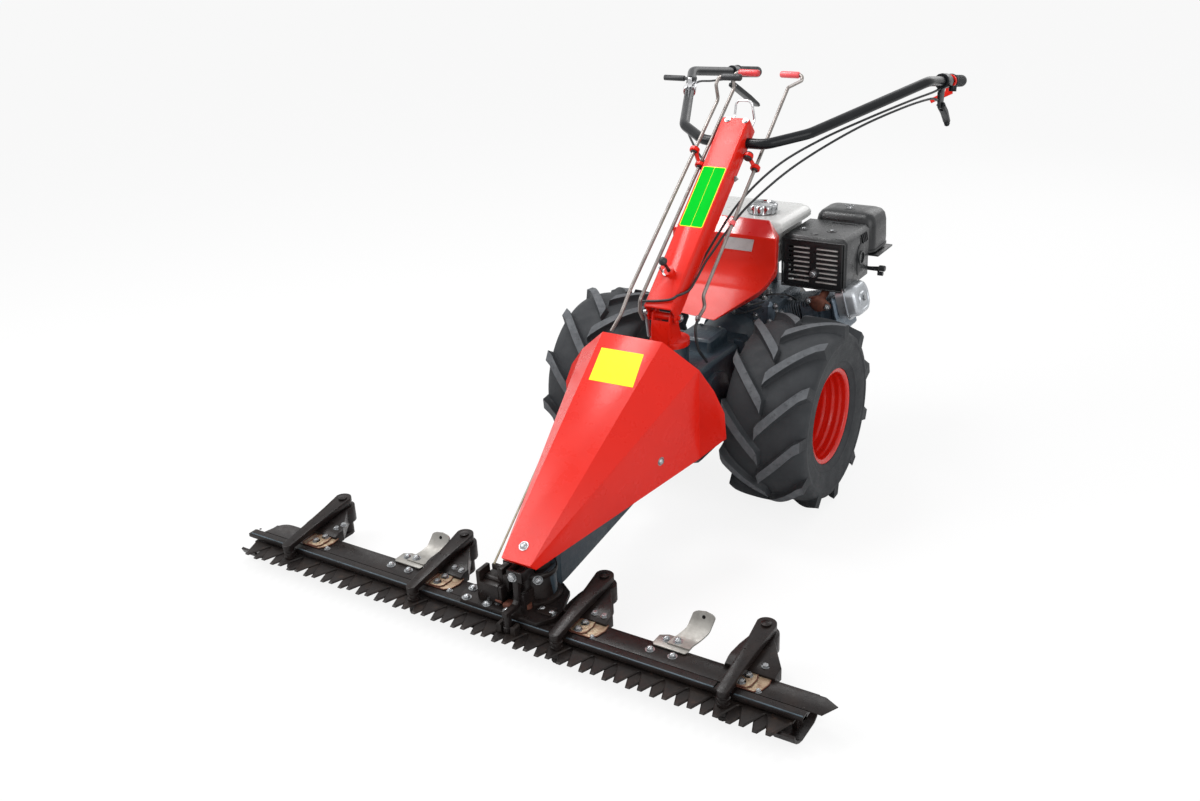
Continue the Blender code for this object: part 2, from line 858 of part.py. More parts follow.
def engine_cylinder():
    start = BASE_REACH + GAP
    head = CYLINDER_REACH + 0.120
    barrel = block(
        "cylinder",
        (head - start, CYLINDER_DEPTH - 0.040, CYLINDER_HEIGHT - 0.034),
        ((head + start) / 2, 0, 0),
        ALLOY,
        CYLINDER_FRAME,
    )
    pitch = (head - 0.060 - start) / (FIN_COUNT - 1)
    fuse(
        barrel,
        *(
            block(
                f"fin_{number}",
                (FIN_SHEET, CYLINDER_DEPTH, CYLINDER_HEIGHT),
                (start + 0.006 + number * pitch, 0, 0),
                within=CYLINDER_FRAME,
            )
            for number in range(FIN_COUNT)
        ),
        block(
            "head_flange",
            (0.016, CYLINDER_DEPTH, CYLINDER_HEIGHT),
            (head - 0.008, 0, 0),
            within=CYLINDER_FRAME,
            bevel=0.006,
        ),
        block(
            "exhaust_port",
            (0.050, 0.060, 0.056),
            (PORT_REACH, -0.0475, PORT_RISE),
            within=CYLINDER_FRAME,
        ),
        block(
            "intake_port", (0.050, 0.060, 0.056), (PORT_REACH, 0.0395, PORT_RISE), within=CYLINDER_FRAME
        ),
    )
    carve(
        barrel,
        cylinder(
            "cylinder_bore", 0.036, (start - 0.01, head - 0.060), "X", within=CYLINDER_FRAME, sides=14
        ),
    )
    return barrel


def valve_cover():
    start = CYLINDER_REACH + 0.120 + GAP
    cover = block(
        "valve_cover",
        (VALVE_COVER_DEPTH, CYLINDER_DEPTH - 0.014, CYLINDER_HEIGHT - 0.010),
        (start + VALVE_COVER_DEPTH / 2, 0, 0),
        ALLOY,
        CYLINDER_FRAME,
        bevel=0.016,
        segments=2,
    )
    inner = VALVE_COVER_DEPTH - 0.006
    carve(
        cover,
        block(
            "valve_space",
            (inner + 0.01, CYLINDER_DEPTH - 0.044, CYLINDER_HEIGHT - 0.040),
            (start + inner / 2 - 0.005, 0, 0),
            within=CYLINDER_FRAME,
            bevel=0.008,
        ),
    )
    return cover


def exhaust_pipe():
    port = CYLINDER_FRAME @ Vector((PORT_REACH, -0.0775 - GAP, PORT_RISE))
    flange = block(
        "exhaust_pipe",
        (0.066, 0.008, 0.056),
        (PORT_REACH, -0.0815 - GAP, PORT_RISE),
        BROWN,
        CYLINDER_FRAME,
        bevel=0.003,
    )
    gap_z = (COVER_BOTTOM + (CYLINDER_FRAME @ Vector((PORT_REACH, 0, CYLINDER_HEIGHT / 2))).z) / 2
    line = rounded(
        [
            port,
            port - Vector((0, 0.032, 0)),
            (port.x, port.y - 0.032, gap_z),
            (port.x, MUFFLER_Y - 0.045, gap_z),
            (port.x, MUFFLER_Y - 0.045, MUFFLER_BOTTOM - GAP),
        ],
        0.014,
        3,
    )
    return fuse(flange, tube("pipe", line, 0.0105))


def muffler():
    port = CYLINDER_FRAME @ Vector((PORT_REACH, 0, PORT_RISE))
    size = (COVER_WIDTH - 0.030, COVER_DEPTH - 0.034, 0.118)
    middle = (COVER_X + COVER_WIDTH / 2, MUFFLER_Y, MUFFLER_BOTTOM + size[2] / 2)
    can = block("muffler", size, middle, STEEL, bevel=0.022)
    return carve(
        can,
        block("muffler_space", tuple(side - 0.005 for side in size), middle, bevel=0.021),
        cylinder(
            "muffler_inlet",
            0.0095,
            (MUFFLER_BOTTOM - 0.01, MUFFLER_BOTTOM + 0.02),
            "Z",
            (port.x, MUFFLER_Y - 0.045),
            sides=12,
        ),
        cylinder(
            "muffler_outlet", 0.012, (middle[0], middle[0] + 0.12), "X", (TAIL_Y, TAIL_Z), sides=16
        ),
    )


def muffler_cover():
    middle = (COVER_X + COVER_WIDTH / 2, COVER_Y + COVER_DEPTH / 2, COVER_BOTTOM + COVER_HEIGHT / 2)
    cover = block("muffler_cover", (COVER_WIDTH, COVER_DEPTH, COVER_HEIGHT), middle, BLACK, bevel=0.012)
    inner = (COVER_WIDTH - 2 * COVER_SHEET, COVER_DEPTH - 2 * COVER_SHEET, COVER_HEIGHT)
    pitch = (COVER_HEIGHT - 0.050) / LOUVRE_ROWS
    slots = [
        block(
            f"louvre_{row}_{column}",
            (0.068, 0.02, pitch * 0.42),
            (middle[0] + (column - 0.5) * 0.088, COVER_Y, COVER_BOTTOM + 0.030 + row * pitch),
        )
        for row in range(LOUVRE_ROWS)
        for column in range(2)
    ]
    vents = [
        block(
            f"vent_{number}",
            (0.02, 0.006, 0.036),
            (COVER_X + COVER_WIDTH, COVER_Y + 0.120 + number * 0.013, COVER_BOTTOM + 0.125),
        )
        for number in range(4)
    ]
    return carve(
        cover,
        block("cover_space", inner, (middle[0], middle[1], middle[2] - COVER_SHEET), bevel=0.010),
        cylinder(
            "tail_port", 0.016, (middle[0] + 0.07, middle[0] + 0.12), "X", (TAIL_Y, TAIL_Z), sides=16
        ),
        *slots,
        *vents,
    )


def air_cleaner():
    middle = (
        FILTER_X + FILTER_WIDTH / 2, FILTER_Y + FILTER_DEPTH / 2, FILTER_BOTTOM + FILTER_HEIGHT / 2
    )
    cover = block(
        "air_cleaner_cover", (FILTER_WIDTH, FILTER_DEPTH, FILTER_HEIGHT), middle, BLACK, bevel=0.020
    )
    fuse(
        cover,
        cylinder(
            "filter_stud",
            0.006,
            (FILTER_BOTTOM + FILTER_HEIGHT - 0.002, FILTER_BOTTOM + FILTER_HEIGHT + 0.010),
            "Z",
            (0.218, 0.557),
            sides=12,
        ),
    )
    inner = (FILTER_WIDTH - 2 * COVER_SHEET, FILTER_DEPTH - 2 * COVER_SHEET, FILTER_HEIGHT)
    return carve(
        cover,
        block(
            "filter_space", inner, (middle[0], middle[1], middle[2] - COVER_SHEET - 0.001), bevel=0.016
        ),
    )


def carburettor():
    port = CYLINDER_FRAME @ Vector((PORT_REACH, 0.0695 + GAP, PORT_RISE))
    body = block(
        "carburettor", (0.044, 0.046, 0.052), (port.x, port.y + 0.023, port.z), ALLOY, bevel=0.004
    )
    rear = FILTER_Y + 0.045
    neck = rounded(
        [
            (port.x, port.y + 0.040, port.z),
            (port.x, rear, port.z),
            (port.x, rear, FILTER_BOTTOM - 0.003),
        ],
        0.024,
        3,
    )
    return fuse(
        body,
        cylinder(
            "float_bowl",
            0.019,
            (port.z - 0.052, port.z - 0.020),
            "Z",
            (port.x, port.y + 0.024),
            sides=12,
        ),
        tube("intake_neck", neck, 0.015),
        block(
            "filter_base",
            (FILTER_WIDTH - 0.012, FILTER_DEPTH - 0.012, 0.005),
            (FILTER_X + FILTER_WIDTH / 2, FILTER_Y + FILTER_DEPTH / 2, FILTER_BOTTOM - GAP - 0.0025),
        ),
    )


def choke_lever():
    port = CYLINDER_FRAME @ Vector((PORT_REACH, 0.0695 + GAP, PORT_RISE))
    start = port.x + 0.022 + GAP
    y, z = port.y + 0.032, port.z + 0.012
    pin = cylinder("choke_lever", 0.003, (start, CHOKE_X), "X", (y, z), PLASTIC, sides=8)
    fuse(
        pin,
        slab(
            "choke_arm",
            [(y - 0.006, z - 0.008), (y + 0.008, z - 0.006), (0.500, 0.548), (0.492, 0.552)],
            0.004,
            "X",
            (CHOKE_X, 0, 0),
        ),
        cylinder(
            "choke_knob", 0.008, (CHOKE_X - 0.008, CHOKE_X + 0.012), "X", (0.497, 0.553), sides=12
        ),
    )
    return pin, (start, y, z)


def fan_housing():
    rear = CASE_REAR_Y + FAN_DEPTH
    sheet = 0.0025
    housing = turned(
        "fan_housing",
        [
            (rear + 0.0265, 0),
            (rear + 0.0265, 0.0795),
            (rear - 0.0015, 0.0855),
            (rear - 0.018, FAN_RADIUS - sheet),
            (CASE_REAR_Y + GAP, FAN_RADIUS - sheet),
            (CASE_REAR_Y + GAP, FAN_RADIUS),
            (rear - 0.017, FAN_RADIUS),
            (rear + 0.001, 0.088),
            (rear + 0.029, 0.082),
            (rear + 0.029, 0),
        ],
        "Y",
        (0, 0, CRANK_Z),
        BLACK,
        steps=20,
    )
    slots = []
    for number in range(8):
        turn = move(0, 0, CRANK_Z) @ Matrix.Rotation(number * math.pi / 4, 4, "Y")
        slots.append(
            block(f"air_slot_{number}", (0.034, 0.02, 0.010), (0.055, rear + 0.028, 0), within=turn)
        )
    return carve(housing, *slots)


def starter_handle():
    """Pull handle at rest against the recoil starter's rim."""
    turn = move(0, CASE_REAR_Y + FAN_DEPTH + 0.016, CRANK_Z) @ Matrix.Rotation(STARTER_TURN, 4, "Y")
    grip = cylinder("starter_handle", 0.009, (-0.032, 0.032), "Z", (0.108, 0), PLASTIC, turn, sides=12)
    return fuse(grip, cylinder("starter_stem", 0.005, (0.0865, 0.106), "X", within=turn, sides=10))


def fuel_tank():
    middle = (
        TANK_RIGHT_X - TANK_WIDTH / 2, TANK_FRONT_Y + TANK_DEPTH / 2, TANK_BOTTOM + TANK_HEIGHT / 2
    )
    top = TANK_BOTTOM + TANK_HEIGHT
    neck = CAP_RADIUS - 0.008
    tank = block(
        "fuel_tank", (TANK_WIDTH, TANK_DEPTH, TANK_HEIGHT), middle, TANK_GREY, bevel=0.028, segments=2
    )
    fuse(
        tank,
        cylinder("filler_neck", neck, (top - 0.010, top + 0.007), "Z", (CAP_X, CAP_Y), sides=16),
        block(
            "tank_seam",
            (TANK_WIDTH + 0.006, TANK_DEPTH + 0.006, 0.004),
            (middle[0], middle[1], TANK_BOTTOM + 0.052),
            bevel=0.0015,
        ),
    )
    inner = tuple(side - 2 * TANK_WALL for side in (TANK_WIDTH, TANK_DEPTH, TANK_HEIGHT))
    carve(
        tank,
        block("tank_space", inner, middle, bevel=0.024),
        cylinder("filler_hole", neck - 0.005, (top - 0.03, top + 0.02), "Z", (CAP_X, CAP_Y), sides=16),
    )
    bottom = top + 0.0035
    under = top + 0.007 + GAP
    cap = turned(
        "fuel_cap",
        [
            (bottom + CAP_HEIGHT, 0),
            (bottom + CAP_HEIGHT, CAP_RADIUS - 0.005),
            (bottom + CAP_HEIGHT - 0.005, CAP_RADIUS),
            (bottom, CAP_RADIUS),
            (bottom, neck + PLAY),
            (under, neck + PLAY),
            (under, 0),
        ],
        "Z",
        (CAP_X, CAP_Y, 0),
        CHROME,
        steps=16,
    )
    return tank, cap


def shell_from(name, corners, faces, sheet, material):
    """Folded sheet: an open surface of flat faces, thickened inwards."""
    mesh = bpy.data.meshes.new(name)
    mesh.from_pydata(corners, [], faces)
    obj = register(bpy.data.objects.new(name, mesh), material, Matrix())
    solidify = obj.modifiers.new("sheet", "SOLIDIFY")
    solidify.thickness = sheet
    solidify.offset = -1
    solidify.use_even_offset = True
    return obj


def mirrored(half):
    """The right-hand corners, then the same ones on the left."""
    return [Vector(corner) for corner in half] + [Vector((-c[0], c[1], c[2])) for c in half]


def engine_hood():
    half = [
        (HOOD_HALF_WIDTH, HOOD_FRONT_Y, 0.732),
        (HOOD_HALF_TOP, HOOD_FRONT_Y + 0.050, 0.763),
        (HOOD_HALF_WIDTH + 0.002, HOOD_FRONT_Y - 0.008, 0.600),
        (0.036, -0.012, 0.506),
        (HOOD_HALF_WIDTH - 0.012, HOOD_REAR_Y, 0.742),
        (HOOD_HALF_TOP - 0.004, HOOD_REAR_Y, 0.766),
        (HOOD_HALF_WIDTH, HOOD_REAR_Y, 0.600),
        (0.110, HOOD_FRONT_Y + 0.018, 0.540),
    ]
    n = len(half)
    right = [(0, 4, 1), (1, 4, 5), (0, 2, 6, 4), (2, 3, 7), (2, 7, 6)]
    faces = [(0, n, n + 2, 2), (2, n + 2, n + 3, 3), (0, 1, n + 1, n), (1, 5, n + 5, n + 1)]
    faces += right
    faces += [tuple(i + n for i in reversed(face)) for face in right]
    hood = shell_from("engine_hood", mirrored(half), faces, HOOD_SHEET, RED)
    top = BOX_TOP + SHIFT_BOX_HEIGHT
    fuse(
        hood,
        block(
            "hood_tab", (0.050, 0.026, 0.506 - top - GAP), (0, 0.004, (0.506 + top + GAP) / 2 + 0.0005)
        ),
    )
    return hood


# Mower


RAIL_Y = RAIL_FRONT_Y + RAIL_DEPTH / 2
KNIFE_REAR_Y = RAIL_FRONT_Y + 0.014
KNIFE_FRONT_Y = KNIFE_REAR_Y - KNIFE_BACK
ARM_XS = [
    BAR_X + (number - (ARM_COUNT - 1) / 2) * PITCHES_PER_ARM * BLADE_PITCH
    for number in range(ARM_COUNT)
]
UPPER_KNIFE_Z = LOWER_KNIFE_Z + KNIFE_SHEET + GAP + 0.0001
STRIP_TOP = RAIL_TOP + 0.003
FLANGE_BOTTOM = STRIP_TOP + GAP
FLANGE_TOP = FLANGE_BOTTOM + 0.012


def mower_beam():
    rear = PTO_Y - GAP
    side = [
        (rear - 0.012, PTO_Z - PTO_RADIUS + 0.008),
        (rear - 0.012, PTO_Z + PTO_RADIUS - 0.010),
        (BEAM_FRONT_Y + 0.030, 0.236),
        (BEAM_FRONT_Y, 0.222),
        (BEAM_FRONT_Y, FLANGE_BOTTOM + 0.004),
        (BEAM_FRONT_Y + 0.030, FLANGE_BOTTOM + 0.006),
    ]
    beam = slab("mower_beam", side, BEAM_WIDTH, "X", (0, 0, 0), BLUE_BLACK, bevel=0.008)
    flange = [
        (-0.172, -0.984),
        (-0.160, -1.012),
        (0.068, -1.012),
        (0.096, -0.975),
        (0.096, -0.940),
        (0.066, -0.860),
        (0.030, -0.835),
        (-0.030, -0.835),
        (-0.062, -0.870),
        (-0.120, -0.930),
        (-0.172, -0.945),
    ]
    stay_z = 0.255
    fuse(
        beam,
        cylinder("rear_disc", PTO_RADIUS, (rear - 0.018, rear), "Y", (0, PTO_Z), sides=20),
        cylinder(
            "rear_collar", PTO_RADIUS - 0.018, (rear - 0.050, rear - 0.010), "Y", (0, PTO_Z), sides=16
        ),
        cylinder(
            "lever_boss", BOSS_RADIUS, (FLANGE_BOTTOM + 0.002, BOSS_TOP), "Z", (0, LEVER_Y), sides=20
        ),
        slab("bottom_flange", flange, 0.012, "Z", (0, 0, FLANGE_BOTTOM + 0.006)),
        slab(
            "left_rib",
            [
                (LEVER_Y - 0.006, 0.078),
                (LEVER_Y + 0.006, 0.078),
                (LEVER_Y + 0.006, 0.15),
                (LEVER_Y - 0.006, 0.15),
            ],
            0.100,
            "X",
            (-0.050, 0, 0),
        ),
        block("front_rib", (0.012, 0.090, 0.050), (0.012, LEVER_Y - 0.040, FLANGE_TOP + 0.020)),
        block("drive_cover", (0.056, 0.052, 0.062), (-0.084, -0.948, FLANGE_TOP + 0.030), bevel=0.006),
        block("rear_stay", (2 * STAY_HALF, 0.006, 0.030), (0, STAY_Y, stay_z)),
        block("rear_stay_foot", (0.050, 0.050, 0.012), (0, STAY_Y, stay_z)),
        block("front_stay", (0.030, 0.120, 0.006), (0, BEAM_FRONT_Y - 0.044, 0.2215)),
    )
    inside = [
        (-0.405, PTO_Z - 0.052),
        (-0.405, PTO_Z + 0.048),
        (SHAFT_FRONT_Y - 0.004, PTO_Z + 0.022),
        (SHAFT_FRONT_Y - 0.004, PTO_Z - 0.022),
        (-0.780, 0.096),
        (-0.740, 0.096),
    ]
    carve(
        beam,
        slab("shaft_space", inside, BEAM_WIDTH - 0.016, "X"),
        cylinder("shaft_bore", SHAFT_RADIUS + 0.003, (-0.45, rear + 0.01), "Y", (0, PTO_Z), sides=12),
        cylinder("lever_bore", 0.012 + PLAY, (0.120, BOSS_TOP + 0.01), "Z", (0, LEVER_Y), sides=12),
    )
    return beam


def cutter_bar():
    rail = block(
        "cutter_bar",
        (RAIL_LENGTH, RAIL_DEPTH, RAIL_SHEET),
        (BAR_X, RAIL_Y, RAIL_TOP - RAIL_SHEET / 2),
        BLACK,
        bevel=0.002,
    )
    shapes = [
        block(
            "rail_strip",
            (RAIL_LENGTH - 0.020, 0.020, 0.006),
            (BAR_X, RAIL_FRONT_Y + 0.012, STRIP_TOP - 0.003),
        )
    ]
    rail_bottom = RAIL_TOP - RAIL_SHEET
    post_top = ARM_REAR_TOP - ARM_BOSS_HEIGHT - GAP
    for number, x in enumerate(ARM_XS):
        plate = [(x - 0.060, RAIL_Y), (x + 0.060, RAIL_Y), *arc((x, POST_Y), 0.034, 0, 180, 5)]
        shapes += [
            slab(
                f"bracket_{number}", plate, RAIL_SHEET - 0.001, "Z", (0, 0, RAIL_TOP - RAIL_SHEET / 2)
            ),
            cylinder(
                f"post_{number}", POST_RADIUS, (RAIL_TOP - 0.004, post_top), "Z", (x, POST_Y), sides=8
            ),
            cylinder(
                f"pin_{number}", PIN_RADIUS, (0.012, ARM_REAR_TOP + 0.006), "Z", (x, POST_Y), sides=8
            ),
            cylinder(
                f"pin_head_{number}",
                0.014,
                (ARM_REAR_TOP + GAP, ARM_REAR_TOP + 0.006),
                "Z",
                (x, POST_Y),
                sides=6,
            ),
            cylinder(
                f"lower_post_{number}",
                POST_RADIUS,
                (LOWER_ARM_Z + LOWER_ARM_SHEET + GAP, rail_bottom + 0.004),
                "Z",
                (x, POST_Y),
                sides=8,
            ),
            cylinder(
                f"lower_head_{number}", 0.014, (0.0105, LOWER_ARM_Z - GAP), "Z", (x, POST_Y), sides=6
            ),
        ]
    sole = [
        (-1.076, 0.030),
        (-1.058, 0.008),
        (-1.032, 0.0),
        (-0.898, 0.0),
        (-0.862, 0.024),
        (-0.868, 0.032),
        (-0.902, SKID_SHEET),
        (-1.030, SKID_SHEET),
        (-1.051, 0.017),
        (-1.069, 0.036),
    ]
    for side_name, x in (
        ("left", BAR_X - RAIL_LENGTH / 2 + 0.030), ("right", BAR_X + RAIL_LENGTH / 2 - 0.030)
    ):
        shapes += [
            slab(f"skid_{side_name}", sole, 0.052, "X", (x, 0, 0)),
            block(
                f"skid_web_{side_name}",
                (0.014, 0.056, rail_bottom - 0.002),
                (x, RAIL_Y + 0.010, (rail_bottom + 0.008) / 2),
            ),
        ]
    shapes += [
        block(
            "middle_sole",
            (0.160, 0.120, SKID_SHEET),
            (BAR_X, RAIL_Y + 0.020, SKID_SHEET / 2),
            bevel=0.002,
        ),
        block(
            "middle_web",
            (0.014, 0.060, rail_bottom - 0.002),
            (BAR_X, RAIL_Y + 0.010, (rail_bottom + 0.008) / 2),
        ),
    ]
    return fuse(rail, *shapes)


def stubble_plate():
    left = BAR_X - RAIL_LENGTH / 2 + 0.026
    right = BAR_X + RAIL_LENGTH / 2 + 0.051
    outline = [
        (left, -0.988),
        (right - 0.020, -0.988),
        (right, -0.948),
        (right - 0.034, RAIL_FRONT_Y + RAIL_DEPTH - 0.006),
        (left + 0.012, RAIL_FRONT_Y + RAIL_DEPTH - 0.006),
        (left, RAIL_FRONT_Y + RAIL_DEPTH - 0.018),
    ]
    sheet = STRIP_TOP - RAIL_TOP - GAP - 0.0004
    return slab("stubble_plate", outline, sheet, "Z", (0, 0, RAIL_TOP + GAP + sheet / 2), BLACK)


def knife(name, count, z):
    """One knife: a back strip with blunt-tipped blades, cut from one outline."""
    half = (count - 1) / 2
    outline = [
        (BAR_X + (half + 0.5) * BLADE_PITCH - 0.001, KNIFE_REAR_Y),
        (BAR_X - (half + 0.5) * BLADE_PITCH + 0.001, KNIFE_REAR_Y),
    ]
    for number in range(count):
        x = BAR_X + (number - half) * BLADE_PITCH
        outline += [
            (x - BLADE_PITCH / 2 + 0.0015, KNIFE_FRONT_Y),
            (x - BLADE_TIP / 2, BLADE_TIP_Y),
            (x + BLADE_TIP / 2, BLADE_TIP_Y),
            (x + BLADE_PITCH / 2 - 0.0015, KNIFE_FRONT_Y),
        ]
    return slab(name, outline, KNIFE_SHEET, "Z", (0, 0, z + KNIFE_SHEET / 2), STEEL)


def knives():
    upper = knife("upper_knife", BLADE_COUNT, UPPER_KNIFE_Z)
    top = UPPER_KNIFE_Z + KNIFE_SHEET
    fuse(
        upper,
        *(
            block(f"knife_lug_{name}", (0.014, 0.026, 0.026), (x, FINGER_Y, top + 0.0115))
            for name, x in (("left", -FINGER_RADIUS - 0.0085), ("right", FINGER_RADIUS + 0.0085))
        ),
    )
    lower = knife("lower_knife", BLADE_COUNT - 1, LOWER_KNIFE_Z)
    return upper, lower


def upper_arm(number, x):
    bottom = ARM_REAR_TOP - ARM_BOSS_HEIGHT
    side = [
        (POST_Y - 0.006, bottom),
        (POST_Y - 0.006, ARM_REAR_TOP - 0.002),
        (POST_Y - 0.060, ARM_REAR_TOP - 0.008),
        (FINGER_Y + 0.006, ARM_FRONT_TOP - 0.001),
        (FINGER_Y + 0.006, 0.0745),
        (RAIL_Y + 0.030, 0.0765),
        (POST_Y - 0.050, bottom + 0.002),
    ]
    arm = slab(f"upper_arm_{number}", side, ARM_SHEET, "X", (x, 0, 0), BLACK, bevel=0.002)
    fuse(
        arm,
        cylinder("rear_boss", ARM_REAR_RADIUS, (bottom, ARM_REAR_TOP), "Z", (x, POST_Y), sides=12),
        cylinder(
            "front_bush",
            ARM_FRONT_RADIUS,
            (UPPER_KNIFE_Z + KNIFE_SHEET + GAP, ARM_FRONT_TOP),
            "Z",
            (x, FINGER_Y),
            sides=10,
        ),
    )
    return carve(
        arm,
        cylinder(
            "pin_bore",
            PIN_RADIUS + PLAY,
            (bottom - 0.01, ARM_REAR_TOP + 0.01),
            "Z",
            (x, POST_Y),
            sides=8,
        ),
    )


def lower_arm(number, x):
    top = LOWER_ARM_Z + LOWER_ARM_SHEET
    outline = [*arc((x, POST_Y), 0.020, 0, 180, 5), *arc((x, FINGER_Y), 0.014, 180, 360, 5)]
    arm = slab(
        f"lower_arm_{number}",
        outline,
        LOWER_ARM_SHEET,
        "Z",
        (0, 0, LOWER_ARM_Z + LOWER_ARM_SHEET / 2),
        BLACK,
    )
    fuse(arm, cylinder("pad", 0.0125, (top - 0.004, LOWER_KNIFE_Z - GAP), "Z", (x, FINGER_Y), sides=8))
    return carve(
        arm,
        cylinder(
            "pin_bore", PIN_RADIUS + PLAY, (LOWER_ARM_Z - 0.01, top + 0.01), "Z", (x, POST_Y), sides=8
        ),
    )


def swath_bracket(side_name, x):
    """Foot plate bolted behind the rail, with a strap that rises from it to a rounded end with a hole."""
    foot_bottom = STRIP_TOP + GAP
    foot = block(
        f"swath_bracket_{side_name}",
        (0.052, 0.050, 0.004),
        (x - 0.030, -0.955, foot_bottom + 0.002),
        STEEL,
        bevel=0.0008,
    )
    frame = move(x, -0.952, foot_bottom + 0.002) @ Matrix.Rotation(math.radians(34), 4, "X")
    strap = [(-0.014, 0.001), (0.014, 0.001), (0.014, 0.052), *arc((0.004, 0.060), 0.013, -20, 200, 5)]
    fuse(
        foot,
        slab("strap", [(u, v) for u, v in strap], 0.004, "Z", (0, 0, 0), within=frame),
        block("strap_foot", (0.036, 0.030, 0.004), (x - 0.004, -0.958, foot_bottom + 0.002)),
    )
    return carve(
        foot, cylinder("strap_hole", 0.005, (-0.01, 0.01), "Z", (0.004, 0.058), within=frame, sides=8)
    )


def knife_drive_lever():
    bottom = BOSS_TOP + GAP
    outline = [
        *arc((0, LEVER_Y), 0.036, -10, 190, 8),
        *arc((0, FINGER_Y), 0.020, 180, 360, 6),
    ]
    lever = slab(
        "knife_drive_lever",
        outline,
        LEVER_SHEET,
        "Z",
        (0, 0, bottom + LEVER_SHEET / 2),
        BLUE_BLACK,
        bevel=0.002,
    )
    fuse(
        lever,
        cylinder("lever_shaft", 0.012, (0.122, bottom + 0.004), "Z", (0, LEVER_Y), sides=12),
        cylinder(
            "finger",
            FINGER_RADIUS,
            (UPPER_KNIFE_Z + KNIFE_SHEET + GAP, bottom + 0.004),
            "Z",
            (0, FINGER_Y),
            sides=12,
        ),
    )
    return lever


def mower_shroud():
    half = [
        SHROUD_TOP,
        SHROUD_SHOULDER,
        SHROUD_HEEL,
        SHROUD_NOSE,
        SHROUD_CHIN,
        (0.220, -0.375, 0.461),
        (WING_REACH - 0.003, -0.370, 0.402),
        (WING_REACH, -0.366, 0.327),
        (WING_REACH - 0.013, -0.364, 0.315),
    ]
    n = len(half)
    side = [(0, 1, 3), (1, 2, 4, 3), (1, 5, 6, 7, 8, 2)]
    faces = [(0, 3, 3 + n, n), (3, 4, 4 + n, 3 + n)]
    faces += side
    faces += [tuple(i + n for i in reversed(face)) for face in side]
    shroud = shell_from("mower_shroud", mirrored(half), faces, SHROUD_SHEET, RED)
    return shroud


def shroud_strip():
    """Flat bar that stands off the shroud's left side and runs down to the bar."""
    line = [
        Vector((-0.158, -0.650, 0.318)),
        Vector((-0.112, -0.985, 0.152)),
        Vector((-0.112, -0.992, 0.108)),
    ]
    along = line[1] - line[0]
    length = along.length
    ahead = along.normalized()
    out = Vector((-0.86, 0, 0.51))
    across = ahead.cross(out).normalized()
    out = across.cross(ahead)
    frame = Matrix((
        (ahead.x, across.x, out.x, line[0].x),
        (ahead.y, across.y, out.y, line[0].y),
        (ahead.z, across.z, out.z, line[0].z),
        (0, 0, 0, 1),
    ))
    outline = [(0, -0.016), (length, -0.016), (length, 0.016), (0, 0.016)]
    return slab("shroud_strip", outline, 0.003, "Z", (0, 0, 0), STEEL, frame)


# Column, handlebar and controls


def in_column(point):
    return COLUMN.inverted() @ Vector(point)


def on_rod(rod, along):
    """Where a rod's straight part crosses the column's cross section at a distance along it."""
    low, high = (in_column(point) for point in rod)
    return low + (high - low) * ((along - low.y) / (high.y - low.y))


ROD_A = (Vector((ROD_A_X, -0.285, 0.667)), Vector((ROD_A_X, 0.246, 1.085)))
ROD_B = (Vector((ROD_B_X, -0.270, 0.637)), Vector((ROD_B_X, 0.306, 1.106)))
ROD_C = (Vector((ROD_C_X, -0.160, 0.633)), Vector((ROD_C_X, 0.388, 1.102)))
RING_A = on_rod(ROD_A, 0.510)
RING_B = on_rod(ROD_B, 0.477)
RING_C = on_rod(ROD_C, 0.527)
PLUG_RING = Vector((0.062, 0.541, -0.043))


def column_foot():
    disc_top = TURRET_TOP + GAP + 0.016
    cheek = [
        (PIVOT_Y - 0.024, disc_top - 0.004),
        (PIVOT_Y + 0.046, disc_top - 0.004),
        *arc((PIVOT_Y, PIVOT_Z), 0.019, 0, 180, 6),
        (PIVOT_Y - 0.024, PIVOT_Z - 0.030),
    ]
    foot = cylinder(
        "column_foot",
        TURRET_RADIUS + 0.004,
        (TURRET_TOP + GAP, disc_top),
        "Z",
        (0, TURRET_Y),
        RED,
        sides=20,
    )
    place = FOOT_WIDTH / 2 - FOOT_SHEET / 2
    return fuse(
        foot,
        slab("cheek_right", cheek, FOOT_SHEET, "X", (place, 0, 0)),
        slab("cheek_left", cheek, FOOT_SHEET, "X", (-place, 0, 0)),
        block(
            "foot_web",
            (FOOT_WIDTH - 0.002, FOOT_SHEET, PIVOT_Z - disc_top - 0.004),
            (0, PIVOT_Y - 0.0205, (PIVOT_Z + disc_top) / 2 - 0.006),
        ),
        cylinder(
            "pivot_spacer",
            0.011,
            (-COLUMN_WIDTH / 2 + COLUMN_SHEET + PLAY, COLUMN_WIDTH / 2 - COLUMN_SHEET - PLAY),
            "X",
            (PIVOT_Y, PIVOT_Z),
            sides=10,
        ),
        cylinder(
            "pivot_bolt",
            PIVOT_RADIUS,
            (-COLUMN_WIDTH / 2 - 0.004, COLUMN_WIDTH / 2 + 0.004),
            "X",
            (PIVOT_Y, PIVOT_Z),
            sides=10,
        ),
    )


